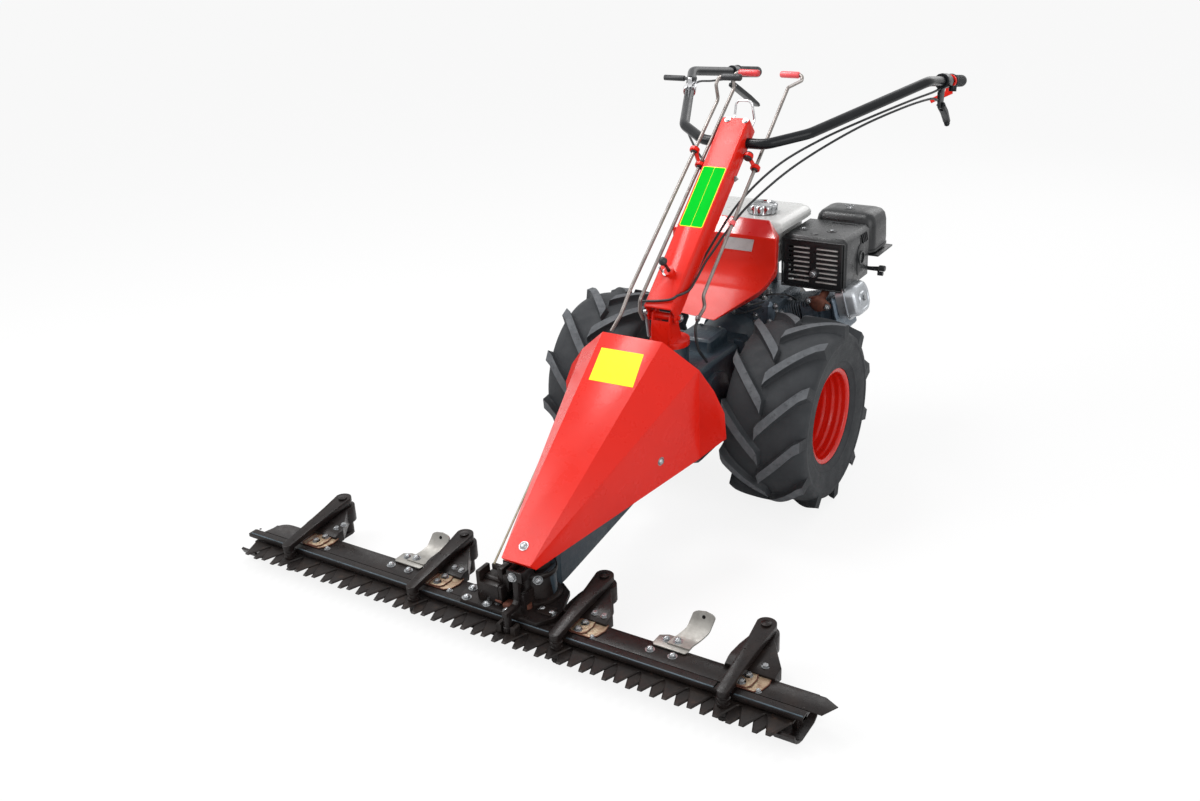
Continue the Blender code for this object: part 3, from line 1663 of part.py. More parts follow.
def column():
    pivot = in_column((0, PIVOT_Y, PIVOT_Z))
    cross = in_column((0, BAR_CROSS_Y, BAR_CROSS_Z))
    half = COLUMN_WIDTH / 2
    box = block(
        "column",
        (COLUMN_WIDTH, COLUMN_LENGTH, COLUMN_DEPTH),
        (0, COLUMN_LENGTH / 2, -COLUMN_DEPTH / 2),
        RED,
        COLUMN,
        bevel=0.005,
    )
    rings = {"a": RING_A, "b": RING_B, "c": RING_C, "plug": PLUG_RING}
    lug = half - COLUMN_SHEET / 2
    fuse(
        box,
        *(
            cylinder(
                f"ring_{name}",
                0.0145,
                (at.y - 0.005, at.y + 0.005),
                "Y",
                (at.x, at.z),
                within=COLUMN,
                sides=10,
            )
            for name, at in rings.items()
        ),
        tube("left_ear", [(-half + 0.002, 0.485, -0.028), RING_B], 0.006, None, COLUMN, 1),
        tube("left_ear_end", [RING_B, RING_A], 0.006, None, COLUMN, 1),
        tube("right_ear", [(half - 0.002, 0.541, -0.043), PLUG_RING], 0.006, None, COLUMN, 1),
        tube("right_ear_end", [PLUG_RING, RING_C], 0.006, None, COLUMN, 1),
        slab(
            "lug_right",
            arc((pivot.y, pivot.z), 0.018, 0, 315, 7),
            COLUMN_SHEET,
            "X",
            (lug, 0, 0),
            None,
            COLUMN,
        ),
        slab(
            "lug_left",
            arc((pivot.y, pivot.z), 0.018, 0, 315, 7),
            COLUMN_SHEET,
            "X",
            (-lug, 0, 0),
            None,
            COLUMN,
        ),
        cylinder("lock_boss", 0.014, (-0.001, 0.018), "Z", (0, LOCK_PLACE), within=COLUMN, sides=14),
    )
    bore = ROD_RADIUS + PLAY + 0.0006
    carve(
        box,
        block(
            "column_space",
            (COLUMN_WIDTH - 2 * COLUMN_SHEET, COLUMN_LENGTH + 0.10, COLUMN_DEPTH - 2 * COLUMN_SHEET),
            (0, COLUMN_LENGTH / 2, -COLUMN_DEPTH / 2),
            within=COLUMN,
        ),
        block(
            "foot_space",
            (COLUMN_WIDTH - 2 * COLUMN_SHEET, 0.140, 0.05),
            (0, 0.030, -COLUMN_DEPTH),
            within=COLUMN,
        ),
        cylinder(
            "bar_hole",
            BAR_RADIUS + GAP,
            (-0.06, 0.06),
            "X",
            (cross.y, cross.z),
            within=COLUMN,
            sides=14,
        ),
        cylinder(
            "pivot_hole",
            PIVOT_RADIUS + PLAY,
            (-0.06, 0.06),
            "X",
            (pivot.y, pivot.z),
            within=COLUMN,
            sides=10,
        ),
        cylinder(
            "plunger_hole", 0.0045 + PLAY, (-0.02, 0.03), "Z", (0, LOCK_PLACE), within=COLUMN, sides=10
        ),
        *(
            cylinder(
                f"rod_hole_{name}",
                bore,
                (at.y - 0.02, at.y + 0.02),
                "Y",
                (at.x, at.z),
                within=COLUMN,
                sides=8,
            )
            for name, at in rings.items()
        ),
    )
    return box


def lock_plunger():
    return turned(
        "lock_plunger",
        [
            (-0.034, 0),
            (-0.034, 0.0045),
            (0.053, 0.0045),
            (0.056, 0.0095),
            (0.0635, 0.0125),
            (0.071, 0.0095),
            (0.0755, 0.0045),
            (0.0765, 0),
        ],
        "Z",
        (0, LOCK_PLACE, 0),
        PLASTIC,
        COLUMN,
        steps=14,
    )


def rod(name, points, radius, grip, material):
    """A bent rod with a crosswise grip at its upper end."""
    line = rounded(points, radius, 2)
    body = tube(name, line, ROD_RADIUS, material, Matrix(), 2)
    return fuse(body, cylinder("grip", 0.010, (min(grip), max(grip)), "X", points[-1][1:], sides=12))


def shift_rods():
    a = rod(
        "shift_rod_a",
        [
            (-0.110, -0.338, 0.562),
            (-0.092, -0.316, 0.604),
            ROD_A[0],
            ROD_A[1],
            (ROD_A_X, 0.232, 1.130),
            (ROD_A_X + 0.004, 0.246, 1.149),
            (-0.055, 0.246, 1.149),
        ],
        0.014,
        (-0.066, -0.004),
        STEEL,
    )
    b = rod(
        "shift_rod_b",
        [
            (-0.064, -0.245, 0.572),
            (-0.064, -0.262, 0.600),
            ROD_B[0],
            ROD_B[1],
            (ROD_B_X, 0.304, 1.140),
            (ROD_B_X + 0.004, 0.316, 1.151),
            (-0.036, 0.318, 1.151),
        ],
        0.014,
        (-0.046, 0.018),
        STEEL,
    )
    c = rod(
        "shift_rod_c",
        [
            (0.078, -0.192, 0.577),
            (0.078, -0.150, 0.598),
            ROD_C[0],
            ROD_C[1],
            (ROD_C_X, 0.490, 1.106),
            (ROD_C_X - 0.004, 0.500, 1.120),
            (0.056, 0.500, 1.120),
        ],
        0.014,
        (0.004, 0.066),
        STEEL,
    )
    return a, b, c


def cable_guard():
    line = rounded(
        [
            (0.034, 0.222, 1.004),
            (0.038, 0.246, 1.030),
            (0.032, 0.240, 1.086),
            (-0.018, 0.244, 1.086),
            (-0.022, 0.240, 1.040),
            (-0.022, 0.214, 1.018),
        ],
        0.016,
        2,
    )
    return tube("cable_guard", line, 0.0035, CHROME, Matrix(), 2)


HANDLE_CORNERS = [
    BAR_END,
    BEND_B,
    BEND_A,
    (0.098, BAR_CROSS_Y, BAR_CROSS_Z),
]
HANDLE_CORNERS += [(-x, y, z) for x, y, z in reversed(HANDLE_CORNERS)]


def tube_frame(side, start, end, share):
    """A frame on the handlebar, with its Z axis along the tube and its X axis level and outwards."""
    start, end = Vector(start), Vector(end)
    start.x *= side
    end.x *= side
    ahead = (end - start).normalized()
    across = ahead.cross(Vector((0, 0, 1))).normalized() * side
    up = ahead.cross(across)
    place = start + (end - start) * share
    return Matrix((
        (across.x, up.x, ahead.x, place.x),
        (across.y, up.y, ahead.y, place.y),
        (across.z, up.z, ahead.z, place.z),
        (0, 0, 0, 1),
    ))


def cable_lever_frame():
    return tube_frame(-1, BEND_A, BEND_B, CABLE_LEVER_SHARE)


def cable_lever_pivot():
    return cable_lever_frame().translation + Vector((0.010, 0, CABLE_LEVER_RISE))


def clamp_ring(name, frame, length, material=None, inner=BAR_RADIUS + GAP, outer=COLLAR_RADIUS):
    half = length / 2
    profile = [(-half, inner), (-half, outer), (half, outer), (half, inner)]
    return turned(name, profile, "Z", (0, 0, 0), material, frame, steps=12)


def handlebar():
    line = rounded(HANDLE_CORNERS, BEND_RADIUS, 2)
    lever_x, lever_y, lever_z = cable_lever_pivot()
    curve = bpy.data.curves.new("handlebar_tube", "CURVE")
    curve.dimensions = "3D"
    curve.bevel_depth = BAR_RADIUS
    curve.bevel_resolution = 2
    spline = curve.splines.new("POLY")
    spline.points.add(len(line) - 1)
    for point, place in zip(spline.points, line):
        point.co = (*place, 1)
    bar = curve_solid("handlebar_tube", curve, BLACK, Matrix())
    solidify = bar.modifiers.new("wall", "SOLIDIFY")
    solidify.thickness = BAR_WALL
    solidify.offset = -1
    frame = tube_frame(-1, BEND_B, BAR_END, 0.62)
    pivot_y, pivot_z = CLUTCH_PIVOT[1:]
    ear = [
        (pivot_y - 0.010, 1.046),
        (pivot_y + 0.008, 1.042),
        *arc((pivot_y, pivot_z), 0.009, 10, -190, 7),
    ]
    fuse(
        bar,
        clamp_ring("clutch_clamp", frame, 0.034, None, BAR_RADIUS - 0.001),
        slab("clutch_ear", ear, 0.006, "X", (CLUTCH_PIVOT[0], 0, 0)),
        cylinder(
            "clutch_pin",
            0.003,
            (CLUTCH_PIVOT[0] - 0.014, CLUTCH_PIVOT[0] + 0.014),
            "X",
            (pivot_y, pivot_z),
            sides=10,
        ),
        clamp_ring("lever_clamp", cable_lever_frame(), 0.030, None, BAR_RADIUS - 0.001),
        *(
            block(
                f"lever_cheek_{number}",
                (0.014, 0.004, CABLE_LEVER_RISE),
                (lever_x, lever_y + side * 0.0155, lever_z + 0.007 - CABLE_LEVER_RISE / 2),
            )
            for number, side in enumerate((-1, 1))
        ),
        cylinder(
            "lever_pin",
            CABLE_PIN_RADIUS,
            (lever_y - 0.019, lever_y + 0.019),
            "Y",
            (lever_x, lever_z),
            sides=8,
        ),
    )
    return bar


def grips():
    made = []
    for side_name, side in (("left", -1), ("right", 1)):
        frame = tube_frame(side, BEND_B, BAR_END, 1)
        inner = BAR_RADIUS + GAP
        profile = [
            (GRIP_CAP, 0),
            (GRIP_CAP, GRIP_RADIUS - 0.003),
            (GRIP_CAP - 0.003, GRIP_RADIUS),
            (-GRIP_LENGTH + 0.008, GRIP_RADIUS - 0.0005),
            (-GRIP_LENGTH + 0.006, GRIP_RADIUS + 0.004),
            (-GRIP_LENGTH, GRIP_RADIUS + 0.004),
            (-GRIP_LENGTH, inner),
            (GAP, inner),
            (GAP, 0),
        ]
        made.append(turned(f"grip_{side_name}", profile, "Z", (0, 0, 0), RUBBER, frame, steps=14))
    return made


def clutch_lever():
    x, y, z = CLUTCH_PIVOT
    side = [
        *arc((y, z), 0.009, 200, 60, 5),
        (y + 0.060, z - 0.020),
        (y + 0.130, z - 0.056),
        (y + 0.196, z - 0.094),
        (y + 0.204, z - 0.106),
        (y + 0.194, z - 0.108),
        (y + 0.120, z - 0.070),
        (y + 0.050, z - 0.034),
    ]
    lever = slab("clutch_lever", side, 0.026, "X", (x, 0, 0), BLACK, bevel=0.002)
    return carve(
        lever,
        block("ear_slot", (0.006 + 2 * PLAY, 0.060, 0.060), (x, y - 0.010, z)),
        cylinder("clutch_bore", 0.003 + PLAY, (x - 0.03, x + 0.03), "X", (y, z), sides=10),
    )


def brake_clamp():
    frame = tube_frame(1, BEND_B, BAR_END, 0.44)
    x, y, z = BRAKE_PIVOT
    ring = clamp_ring("brake_clamp", frame, 0.060, BLACK, BAR_RADIUS + PLAY, 0.024)
    fuse(
        ring,
        slab(
            "brake_ear",
            [
                (y - 0.012, z + 0.058),
                (y + 0.018, z + 0.056),
                *arc((y, z), 0.011, 20, -160, 7),
                (y - 0.030, z + 0.014),
                (y - 0.034, z + 0.044),
            ],
            0.008,
            "X",
            (x, 0, 0),
        ),
        cylinder("brake_pin", 0.003, (x - 0.014, x + 0.014), "X", (y, z), sides=10),
        cylinder("throttle_base", 0.012, (0.012, 0.030), "Y", (0.030, 0), within=frame, sides=10),
    )
    return carve(
        ring,
        turned(
            "tube_space",
            [(-0.04, 0), (-0.04, BAR_RADIUS + PLAY), (0.04, BAR_RADIUS + PLAY), (0.04, 0)],
            "Z",
            (0, 0, 0),
            None,
            frame,
            steps=12,
        ),
    )


def brake_lever():
    x, y, z = BRAKE_PIVOT
    side = [
        *arc((y, z), 0.010, 170, 20, 5),
        (y + 0.045, z - 0.022),
        (y + 0.078, z - 0.062),
        (y + 0.070, z - 0.068),
        (y + 0.034, z - 0.034),
        (y - 0.002, z - 0.010),
    ]
    lever = slab("brake_lever", side, 0.022, "X", (x, 0, 0), BLACK, bevel=0.002)
    ball = turned(
        "brake_ball",
        [(-0.011, 0), (-0.008, 0.007), (0, 0.010), (0.008, 0.007), (0.011, 0)],
        "Z",
        (x, y + 0.076, z - 0.070),
        steps=10,
    )
    fuse(lever, ball)
    return carve(
        lever,
        block("brake_slot", (0.008 + 2 * PLAY, 0.046, 0.060), (x, y - 0.009, z)),
        cylinder("brake_bore", 0.003 + PLAY, (x - 0.03, x + 0.03), "X", (y, z), sides=10),
    )


def throttle_lever():
    """Red thumb lever on a collar that turns round the tube, in front of the right grip."""
    frame = tube_frame(1, BEND_B, BAR_END, THROTTLE_SHARE)
    collar = clamp_ring("throttle_lever", frame, 0.012, RED, BAR_RADIUS + PLAY)
    foot = COLLAR_RADIUS - 0.003
    arm = [
        (-0.010, foot), (0.010, foot), (0.012, 0.039), (-0.052, 0.071), (-0.060, 0.059), (-0.012, 0.033)
    ]
    return fuse(collar, slab("throttle_arm", arm, 0.008, "Z", within=frame, bevel=0.001)), frame


def cable_lever():
    """Black grip on a neck, whose hub turns on a pin between the two cheeks of its clamp."""
    x, y, z = cable_lever_pivot()
    lever = cylinder("cable_lever", 0.009, (x - 0.100, x - 0.028), "X", (y, z), PLASTIC, sides=12)
    fuse(
        lever,
        cylinder("lever_neck", 0.005, (x - 0.040, x - 0.004), "X", (y, z), sides=8),
        cylinder("lever_hub", 0.011, (y - 0.0125, y + 0.0125), "Y", (x, z), sides=12),
    )
    return carve(
        lever, cylinder("hub_bore", CABLE_PIN_RADIUS + PLAY, (y - 0.02, y + 0.02), "Y", (x, z), sides=8)
    )


def cables():
    """Bowden cables, from each lever to the column's foot. Their points are chosen by hand."""
    bx, by, bz = BRAKE_PIVOT
    cx, cy, cz = CLUTCH_PIVOT
    loop = [
        (0.058, 0.235, -0.066),
        (0.054, 0.190, -0.056),
        (0.052, 0.140, -0.050),
        (0.050, 0.093, -0.040),
        (0.0485, 0.064, -0.016),
        (0.0465, 0.046, 0.003),
        (0.034, 0.030, 0.0065),
        (0.000, 0.020, 0.0065),
        (-0.034, 0.014, 0.0065),
        (-0.046, 0.012, 0.006),
    ]
    brake = [
        (bx, by - 0.046, bz + 0.024),
        (0.384, 0.760, 1.022),
        (0.352, 0.620, 1.020),
        (0.284, 0.450, 0.992),
        (0.210, 0.300, 0.944),
        (0.146, 0.200, 0.890),
        (0.084, 0.106, 0.818),
        (0.058, 0.030, 0.765),
    ] + [COLUMN @ Vector(point) for point in loop]
    throttle = [
        (0.3855, 0.849, 1.0405),
        (0.388, 0.780, 1.040),
        (0.362, 0.640, 1.036),
        (0.292, 0.462, 1.010),
        (0.214, 0.316, 0.974),
        (0.128, 0.214, 0.916),
        (0.060, 0.116, 0.832),
        (0.030, 0.020, 0.748),
        (0.018, -0.080, 0.672),
        (0.016, -0.165, 0.606),
    ]
    clutch = [
        (cx, cy - 0.026, cz + 0.026),
        (-0.392, 0.820, 1.034),
        (-0.386, 0.690, 1.046),
        (-0.336, 0.540, 1.006),
        (-0.262, 0.390, 0.972),
        (-0.170, 0.270, 0.935),
        (-0.066, 0.176, 0.878),
        (-0.016, 0.090, 0.806),
        (-0.004, 0.000, 0.728),
        (-0.004, -0.080, 0.666),
        (-0.002, -0.165, 0.602),
    ]
    return [
        tube(name, smooth_line(points, 0.046), CABLE_RADIUS, PLASTIC, Matrix(), 2)
        for name, points in (
            ("brake_cable", brake), ("throttle_cable", throttle), ("clutch_cable", clutch)
        )
    ]


# Joints


PIVOTS = {}


def carry(name, pivot, pieces, on=None):
    """An empty on a joint's axis, which carries the pieces that move with it."""
    base = PIVOTS.get(on, Vector())
    empty = bpy.data.objects.new(name, None)
    PARTS.objects.link(empty)
    empty.parent = bpy.data.objects[on] if on else MACHINE
    empty.location = Vector(pivot) - base
    PIVOTS[name] = Vector(pivot)
    for piece in pieces:
        piece.parent = empty
        piece.matrix_basis = Matrix.Translation(-Vector(pivot)) @ piece.matrix_basis


def build():
    gearbox()
    main_shaft, mower_shaft = drive_shafts()
    carry("main_shaft_axis", (0, 0, CRANK_Z), [main_shaft])
    carry("mower_drive_axis", (0, 0, PTO_Z), [mower_shaft])
    for side, sign in (("left", -1), ("right", 1)):
        carry(f"wheel_{side}_axis", (sign * WHEEL_X, 0, TYRE_RADIUS), wheel(side, sign))

    crankcase()
    carry("crankshaft_axis", (0, CYLINDER_Y, CRANK_Z), [crankshaft()])
    engine_cylinder()
    valve_cover()
    exhaust_pipe()
    muffler()
    muffler_cover()
    air_cleaner()
    carburettor()
    choke, choke_pivot = choke_lever()
    carry("choke_axis", choke_pivot, [choke])
    fan_housing()
    carry("starter_axis", (0, CASE_REAR_Y + FAN_DEPTH + 0.016, CRANK_Z), [starter_handle()])
    _, cap = fuel_tank()
    carry("fuel_cap_axis", (CAP_X, CAP_Y, TANK_BOTTOM + TANK_HEIGHT), [cap])
    engine_hood()

    upper, lower = knives()
    mower = [mower_beam(), cutter_bar(), stubble_plate(), mower_shroud(), shroud_strip()]
    mower += [swath_bracket("left", SWATH_LEFT_X), swath_bracket("right", SWATH_RIGHT_X)]
    carry("mower_axis", (0, PTO_Y, PTO_Z), mower)
    carry("upper_knife_axis", (0, FINGER_Y, UPPER_KNIFE_Z), [upper], "mower_axis")
    carry("lower_knife_axis", (0, FINGER_Y, LOWER_KNIFE_Z), [lower], "mower_axis")
    carry("lever_axis", (0, LEVER_Y, BOSS_TOP), [knife_drive_lever()], "mower_axis")
    for number, x in enumerate(ARM_XS, 1):
        carry(
            f"upper_arm_{number}_axis", (x, POST_Y, ARM_REAR_TOP), [upper_arm(number, x)], "mower_axis"
        )
        carry(
            f"lower_arm_{number}_axis", (x, POST_Y, LOWER_ARM_Z), [lower_arm(number, x)], "mower_axis"
        )

    column_foot()
    steering = [column(), cable_guard(), handlebar(), *grips(), brake_clamp(), *cables()]
    carry("handlebar_axis", (0, PIVOT_Y, PIVOT_Z), steering)
    for name, line, piece in zip("abc", (ROD_A, ROD_B, ROD_C), shift_rods()):
        carry(f"shift_rod_{name}_axis", line[0], [piece], "handlebar_axis")
    carry("lock_axis", COLUMN @ Vector((0, LOCK_PLACE, 0)), [lock_plunger()], "handlebar_axis")
    carry("clutch_axis", CLUTCH_PIVOT, [clutch_lever()], "handlebar_axis")
    carry("brake_axis", BRAKE_PIVOT, [brake_lever()], "handlebar_axis")
    throttle, throttle_frame = throttle_lever()
    carry("throttle_axis", throttle_frame.translation, [throttle], "handlebar_axis")
    carry("cable_lever_axis", cable_lever_pivot(), [cable_lever()], "handlebar_axis")


def centre_machine():
    """Moves the machine so that the world's origin is under the middle of the box round all its parts."""
    bpy.context.view_layer.update()
    graph = bpy.context.evaluated_depsgraph_get()
    low = Vector((math.inf,) * 3)
    high = -low
    for obj in PARTS.objects:
        if obj.type == "EMPTY":
            continue
        evaluated = obj.evaluated_get(graph)
        for corner in evaluated.to_mesh().vertices:
            place = evaluated.matrix_world @ corner.co
            low = Vector(map(min, low, place))
            high = Vector(map(max, high, place))
        evaluated.to_mesh_clear()
    MACHINE.location = MACHINE.location - Vector(((low.x + high.x) / 2, (low.y + high.y) / 2, low.z))


build()
centre_machine()
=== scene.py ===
"""Looks of the two-wheel tractor with its double-knife cutter bar.

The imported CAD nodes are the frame. What the photograph shows in finer detail than the CAD is built
here, in the machine's own axes: y = 0 is the wheel axle, x = 0 the middle between the wheels and
z = 0 the ground. -Y is ahead, and left and right are as seen from the front, as in the record.
"""

import json
import math

import bmesh
import bpy
from mathutils import Matrix, Vector
from mathutils.bvhtree import BVHTree

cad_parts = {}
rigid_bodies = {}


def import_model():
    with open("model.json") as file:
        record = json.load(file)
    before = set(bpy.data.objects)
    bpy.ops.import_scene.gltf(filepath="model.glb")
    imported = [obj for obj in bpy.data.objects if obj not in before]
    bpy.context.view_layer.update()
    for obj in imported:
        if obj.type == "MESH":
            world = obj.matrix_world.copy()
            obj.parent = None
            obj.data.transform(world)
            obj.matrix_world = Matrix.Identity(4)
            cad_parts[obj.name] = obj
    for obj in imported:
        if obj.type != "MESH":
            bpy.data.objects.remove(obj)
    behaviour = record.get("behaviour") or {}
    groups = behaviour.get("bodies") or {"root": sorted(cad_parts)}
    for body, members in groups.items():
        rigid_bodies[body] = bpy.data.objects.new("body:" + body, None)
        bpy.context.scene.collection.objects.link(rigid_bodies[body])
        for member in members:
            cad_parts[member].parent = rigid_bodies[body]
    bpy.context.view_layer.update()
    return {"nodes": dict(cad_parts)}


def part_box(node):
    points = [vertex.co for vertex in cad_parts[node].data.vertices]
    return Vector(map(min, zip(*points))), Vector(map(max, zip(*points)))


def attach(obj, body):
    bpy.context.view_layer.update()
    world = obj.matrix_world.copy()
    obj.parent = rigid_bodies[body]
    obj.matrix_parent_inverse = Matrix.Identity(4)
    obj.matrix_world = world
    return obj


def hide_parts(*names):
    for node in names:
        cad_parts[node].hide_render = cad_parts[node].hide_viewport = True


for old in list(bpy.data.objects):
    bpy.data.objects.remove(old)
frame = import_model()
NODES = frame["nodes"]
RIM_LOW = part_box("rim_left")[0]
RIM_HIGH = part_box("rim_right")[1]
MACHINE = Matrix.Translation(((RIM_LOW.x + RIM_HIGH.x) / 2, (RIM_LOW.y + RIM_HIGH.y) / 2, 0))

# ALONG_X draws an outline of (y, z) along x, ALONG_Y one of (z, x) along y, UPRIGHT one of (x, z)
# along y. COLUMN has Y up the steering column and Z out of its front face. CYLINDER has X out along
# the engine's cylinder.
ALONG_X = Matrix(((0, 0, 1, 0), (1, 0, 0, 0), (0, 1, 0, 0), (0, 0, 0, 1)))
ALONG_Y = Matrix(((0, 1, 0, 0), (0, 0, 1, 0), (1, 0, 0, 0), (0, 0, 0, 1)))
UPRIGHT = Matrix(((1, 0, 0, 0), (0, 0, 1, 0), (0, 1, 0, 0), (0, 0, 0, 1)))
COLUMN_SLOPE = math.radians(41.2)
CYLINDER_SLOPE = math.radians(15)
COLUMN = Matrix.Translation((0, -0.28, 0.624)) @ Matrix.Rotation(COLUMN_SLOPE, 4, "X")
CYLINDER = Matrix.Translation((0, 0.352, 0.378)) @ Matrix.Rotation(-CYLINDER_SLOPE, 4, "Y")


# Materials

COAT_ROUGHNESS = 0.12


def socket(tree, node, name, value):
    """Links a value's output, or sets the number or colour itself."""
    if isinstance(value, bpy.types.NodeSocket):
        tree.links.new(value, node.inputs[name])
    else:
        node.inputs[name].default_value = value


def add_node(tree, kind, **inputs):
    """A node with some of its inputs set."""
    node = tree.nodes.new(kind)
    for name, value in inputs.items():
        socket(tree, node, name.replace("_", " "), value)
    return node


def cloud(tree, place, scale, detail=4.0, rough=0.6):
    """Noise between 0 and 1, with its scale in features per metre."""
    noise = add_node(tree, "ShaderNodeTexNoise", Scale=scale, Detail=detail, Roughness=rough)
    tree.links.new(place, noise.inputs["Vector"])
    return noise.outputs["Fac"]


def spread(tree, value, low, high, start, end):
    """A value's stretch from low to high, made one from start to end."""
    node = tree.nodes.new("ShaderNodeMapRange")
    node.clamp = True
    tree.links.new(value, node.inputs["Value"])
    for name, number in zip(("From Min", "From Max", "To Min", "To Max"), (low, high, start, end)):
        node.inputs[name].default_value = number
    return node.outputs["Result"]


def mixed(tree, share, one, two):
    """One colour, turning into the other where the share rises. Sockets 6 and 7 take the colours."""
    node = tree.nodes.new("ShaderNodeMix")
    node.data_type = "RGBA"
    tree.links.new(share, node.inputs["Factor"])
    for place, colour in ((6, one), (7, two)):
        if isinstance(colour, bpy.types.NodeSocket):
            tree.links.new(colour, node.inputs[place])
        else:
            node.inputs[place].default_value = (*colour, 1)
    return node.outputs[2]


def finish(
    name,
    colour,
    second,
    patches=12.0,
    share=(0.45, 0.7),
    rough=(0.3, 0.42),
    metallic=0.0,
    grain=(600.0, 0.00015),
    dents=(40.0, 0.0),
    coat=0.0,
    specular=0.5,
    stain=None,
):
    """A material with two mottled colours, uneven gloss and a bump of fine grain and broad dents.

    A stain is (colour, scale, low, high): a third colour that shows where its own noise is high.
    """
    material = bpy.data.materials.new(name)
    material.use_nodes = True
    tree = material.node_tree
    shader = tree.nodes["Principled BSDF"]
    place = tree.nodes.new("ShaderNodeTexCoord").outputs["Object"]
    patch = spread(tree, cloud(tree, place, patches, 6.0), share[0], share[1], 0, 1)
    base = mixed(tree, patch, colour, second)
    if stain:
        third, scale, low, high = stain
        stained = spread(tree, cloud(tree, place, scale, 8.0, 0.7), low, high, 0, 1)
        base = mixed(tree, stained, base, third)
    tree.links.new(base, shader.inputs["Base Color"])
    gloss = spread(tree, cloud(tree, place, patches * 3, 5.0), 0.3, 0.7, rough[0], rough[1])
    tree.links.new(gloss, shader.inputs["Roughness"])
    fine = add_node(tree, "ShaderNodeBump", Strength=1.0, Distance=grain[1])
    tree.links.new(cloud(tree, place, grain[0], 3.0), fine.inputs["Height"])
    normal = fine
    if dents[1]:
        normal = add_node(tree, "ShaderNodeBump", Strength=1.0, Distance=dents[1])
        tree.links.new(cloud(tree, place, dents[0], 3.0), normal.inputs["Height"])
        tree.links.new(fine.outputs["Normal"], normal.inputs["Normal"])
    tree.links.new(normal.outputs["Normal"], shader.inputs["Normal"])
    shader.inputs["Metallic"].default_value = metallic
    shader.inputs["Coat Weight"].default_value = coat
    shader.inputs["Coat Roughness"].default_value = COAT_ROUGHNESS
    shader.inputs["Specular IOR Level"].default_value = specular
    material.diffuse_color = (*colour, 1)
    return material


RED = finish(
    "red_paint", (0.62, 0.0125, 0.0048), (0.58, 0.011, 0.0042), 5, rough=(0.24, 0.34),
    grain=(900, 0.00006), dents=(70, 0.00012), coat=0.04, specular=0.22,
)
HOOD_RED = finish(
    "hood_paint", (0.56, 0.015, 0.006), (0.5, 0.012, 0.005), 5, rough=(0.24, 0.34),
    grain=(900, 0.00006), dents=(70, 0.00012), coat=0.15, specular=0.15,
)
# A lighter, pinker and glossier copy of the hood paint, given only to the hood's upward top faces so that
# they show a highlight: a painted highlight.
HOOD_TOP_HIGHLIGHT = finish(
    "hood_top_painted_highlight", (0.6, 0.02, 0.02), (0.56, 0.018, 0.018), 5, rough=(0.24, 0.34),
    grain=(900, 0.00006), coat=1.0, specular=0.5,
)
RIM_RED = finish(
    "rim_red", (0.52, 0.009, 0.004), (0.46, 0.0075, 0.0034), 9, rough=(0.16, 0.26),
    grain=(700, 0.00008), dents=(60, 0.0002), coat=0.15, specular=0.3,
)
GEARBOX = finish(
    "gearbox_paint", (0.014, 0.026, 0.037), (0.022, 0.036, 0.047), 22, rough=(0.3, 0.52),
    grain=(420, 0.0006), dents=(120, 0.0006), coat=0.15, specular=0.4,
)
BLACK = finish(
    "black_paint", (0.0085, 0.0062, 0.006), (0.015, 0.01, 0.0085), 18, rough=(0.22, 0.44),
    grain=(500, 0.0002), dents=(60, 0.0003), specular=0.2, stain=((0.034, 0.017, 0.012), 26, 0.62, 0.8),
)
SATIN = finish(
    "satin_black", (0.005, 0.006, 0.0075), (0.008, 0.0092, 0.011), 14, rough=(0.2, 0.32),
    grain=(800, 0.0001), specular=0.2, coat=0.05,
)
COVER = finish(
    "cover_black", (0.01, 0.011, 0.012), (0.016, 0.017, 0.0185), 20, rough=(0.24, 0.38),
    grain=(1400, 0.0002), specular=0.4,
)
# Blue-grey, half-metal finish of the thin bead along the rail's front lip: a painted highlight along that
# edge.
EDGE_HIGHLIGHT = finish(
    "painted_edge_highlight", (0.06, 0.085, 0.105), (0.03, 0.042, 0.052), 26, rough=(0.24, 0.4), metallic=0.4,
    grain=(700, 0.0001), specular=0.4,
)
BLADE = finish(
    "blade_black", (0.012, 0.0095, 0.009), (0.021, 0.015, 0.0125), 30, rough=(0.34, 0.56), metallic=0.1,
    grain=(700, 0.0002), specular=0.22, stain=((0.06, 0.032, 0.021), 40, 0.6, 0.75),
)
RUBBER = finish(
    "tyre_rubber", (0.021, 0.023, 0.026), (0.029, 0.032, 0.035), 9, rough=(0.58, 0.78),
    grain=(900, 0.0003), dents=(50, 0.0006), specular=0.28,
)
LUG_TOP = finish(
    "lug_top", (0.075, 0.08, 0.087), (0.105, 0.112, 0.12), 40, rough=(0.62, 0.8),
    grain=(700, 0.0004), dents=(90, 0.0004), specular=0.25, stain=((0.04, 0.043, 0.047), 60, 0.55, 0.72),
)
GRIP = finish(
    "grip_rubber", (0.013, 0.014, 0.016), (0.02, 0.021, 0.023), 30, rough=(0.5, 0.68),
    grain=(1200, 0.0002), specular=0.3,
)
PLASTIC = finish(
    "black_plastic", (0.01, 0.011, 0.013), (0.016, 0.017, 0.019), 40, rough=(0.34, 0.48),
    grain=(1500, 0.0001), specular=0.4,
)
STEEL = finish(
    "zinc_steel", (0.52, 0.5, 0.46), (0.36, 0.35, 0.33), 45, rough=(0.26, 0.42), metallic=0.9,
    grain=(900, 0.0002),
)
NUT = finish(
    "nut_zinc", (0.36, 0.37, 0.38), (0.24, 0.25, 0.26), 80, rough=(0.2, 0.36), metallic=0.85,
    grain=(900, 0.0002),
)
ROD = finish(
    "rod_steel", (0.27, 0.245, 0.23), (0.17, 0.15, 0.14), 26, rough=(0.28, 0.42), metallic=0.8,
    grain=(900, 0.0002), stain=((0.13, 0.1, 0.085), 30, 0.6, 0.78),
)
CAP = finish(
    "cap_chrome", (0.42, 0.43, 0.44), (0.3, 0.31, 0.32), 40, rough=(0.1, 0.2), metallic=1.0,
    grain=(900, 0.00006),
)
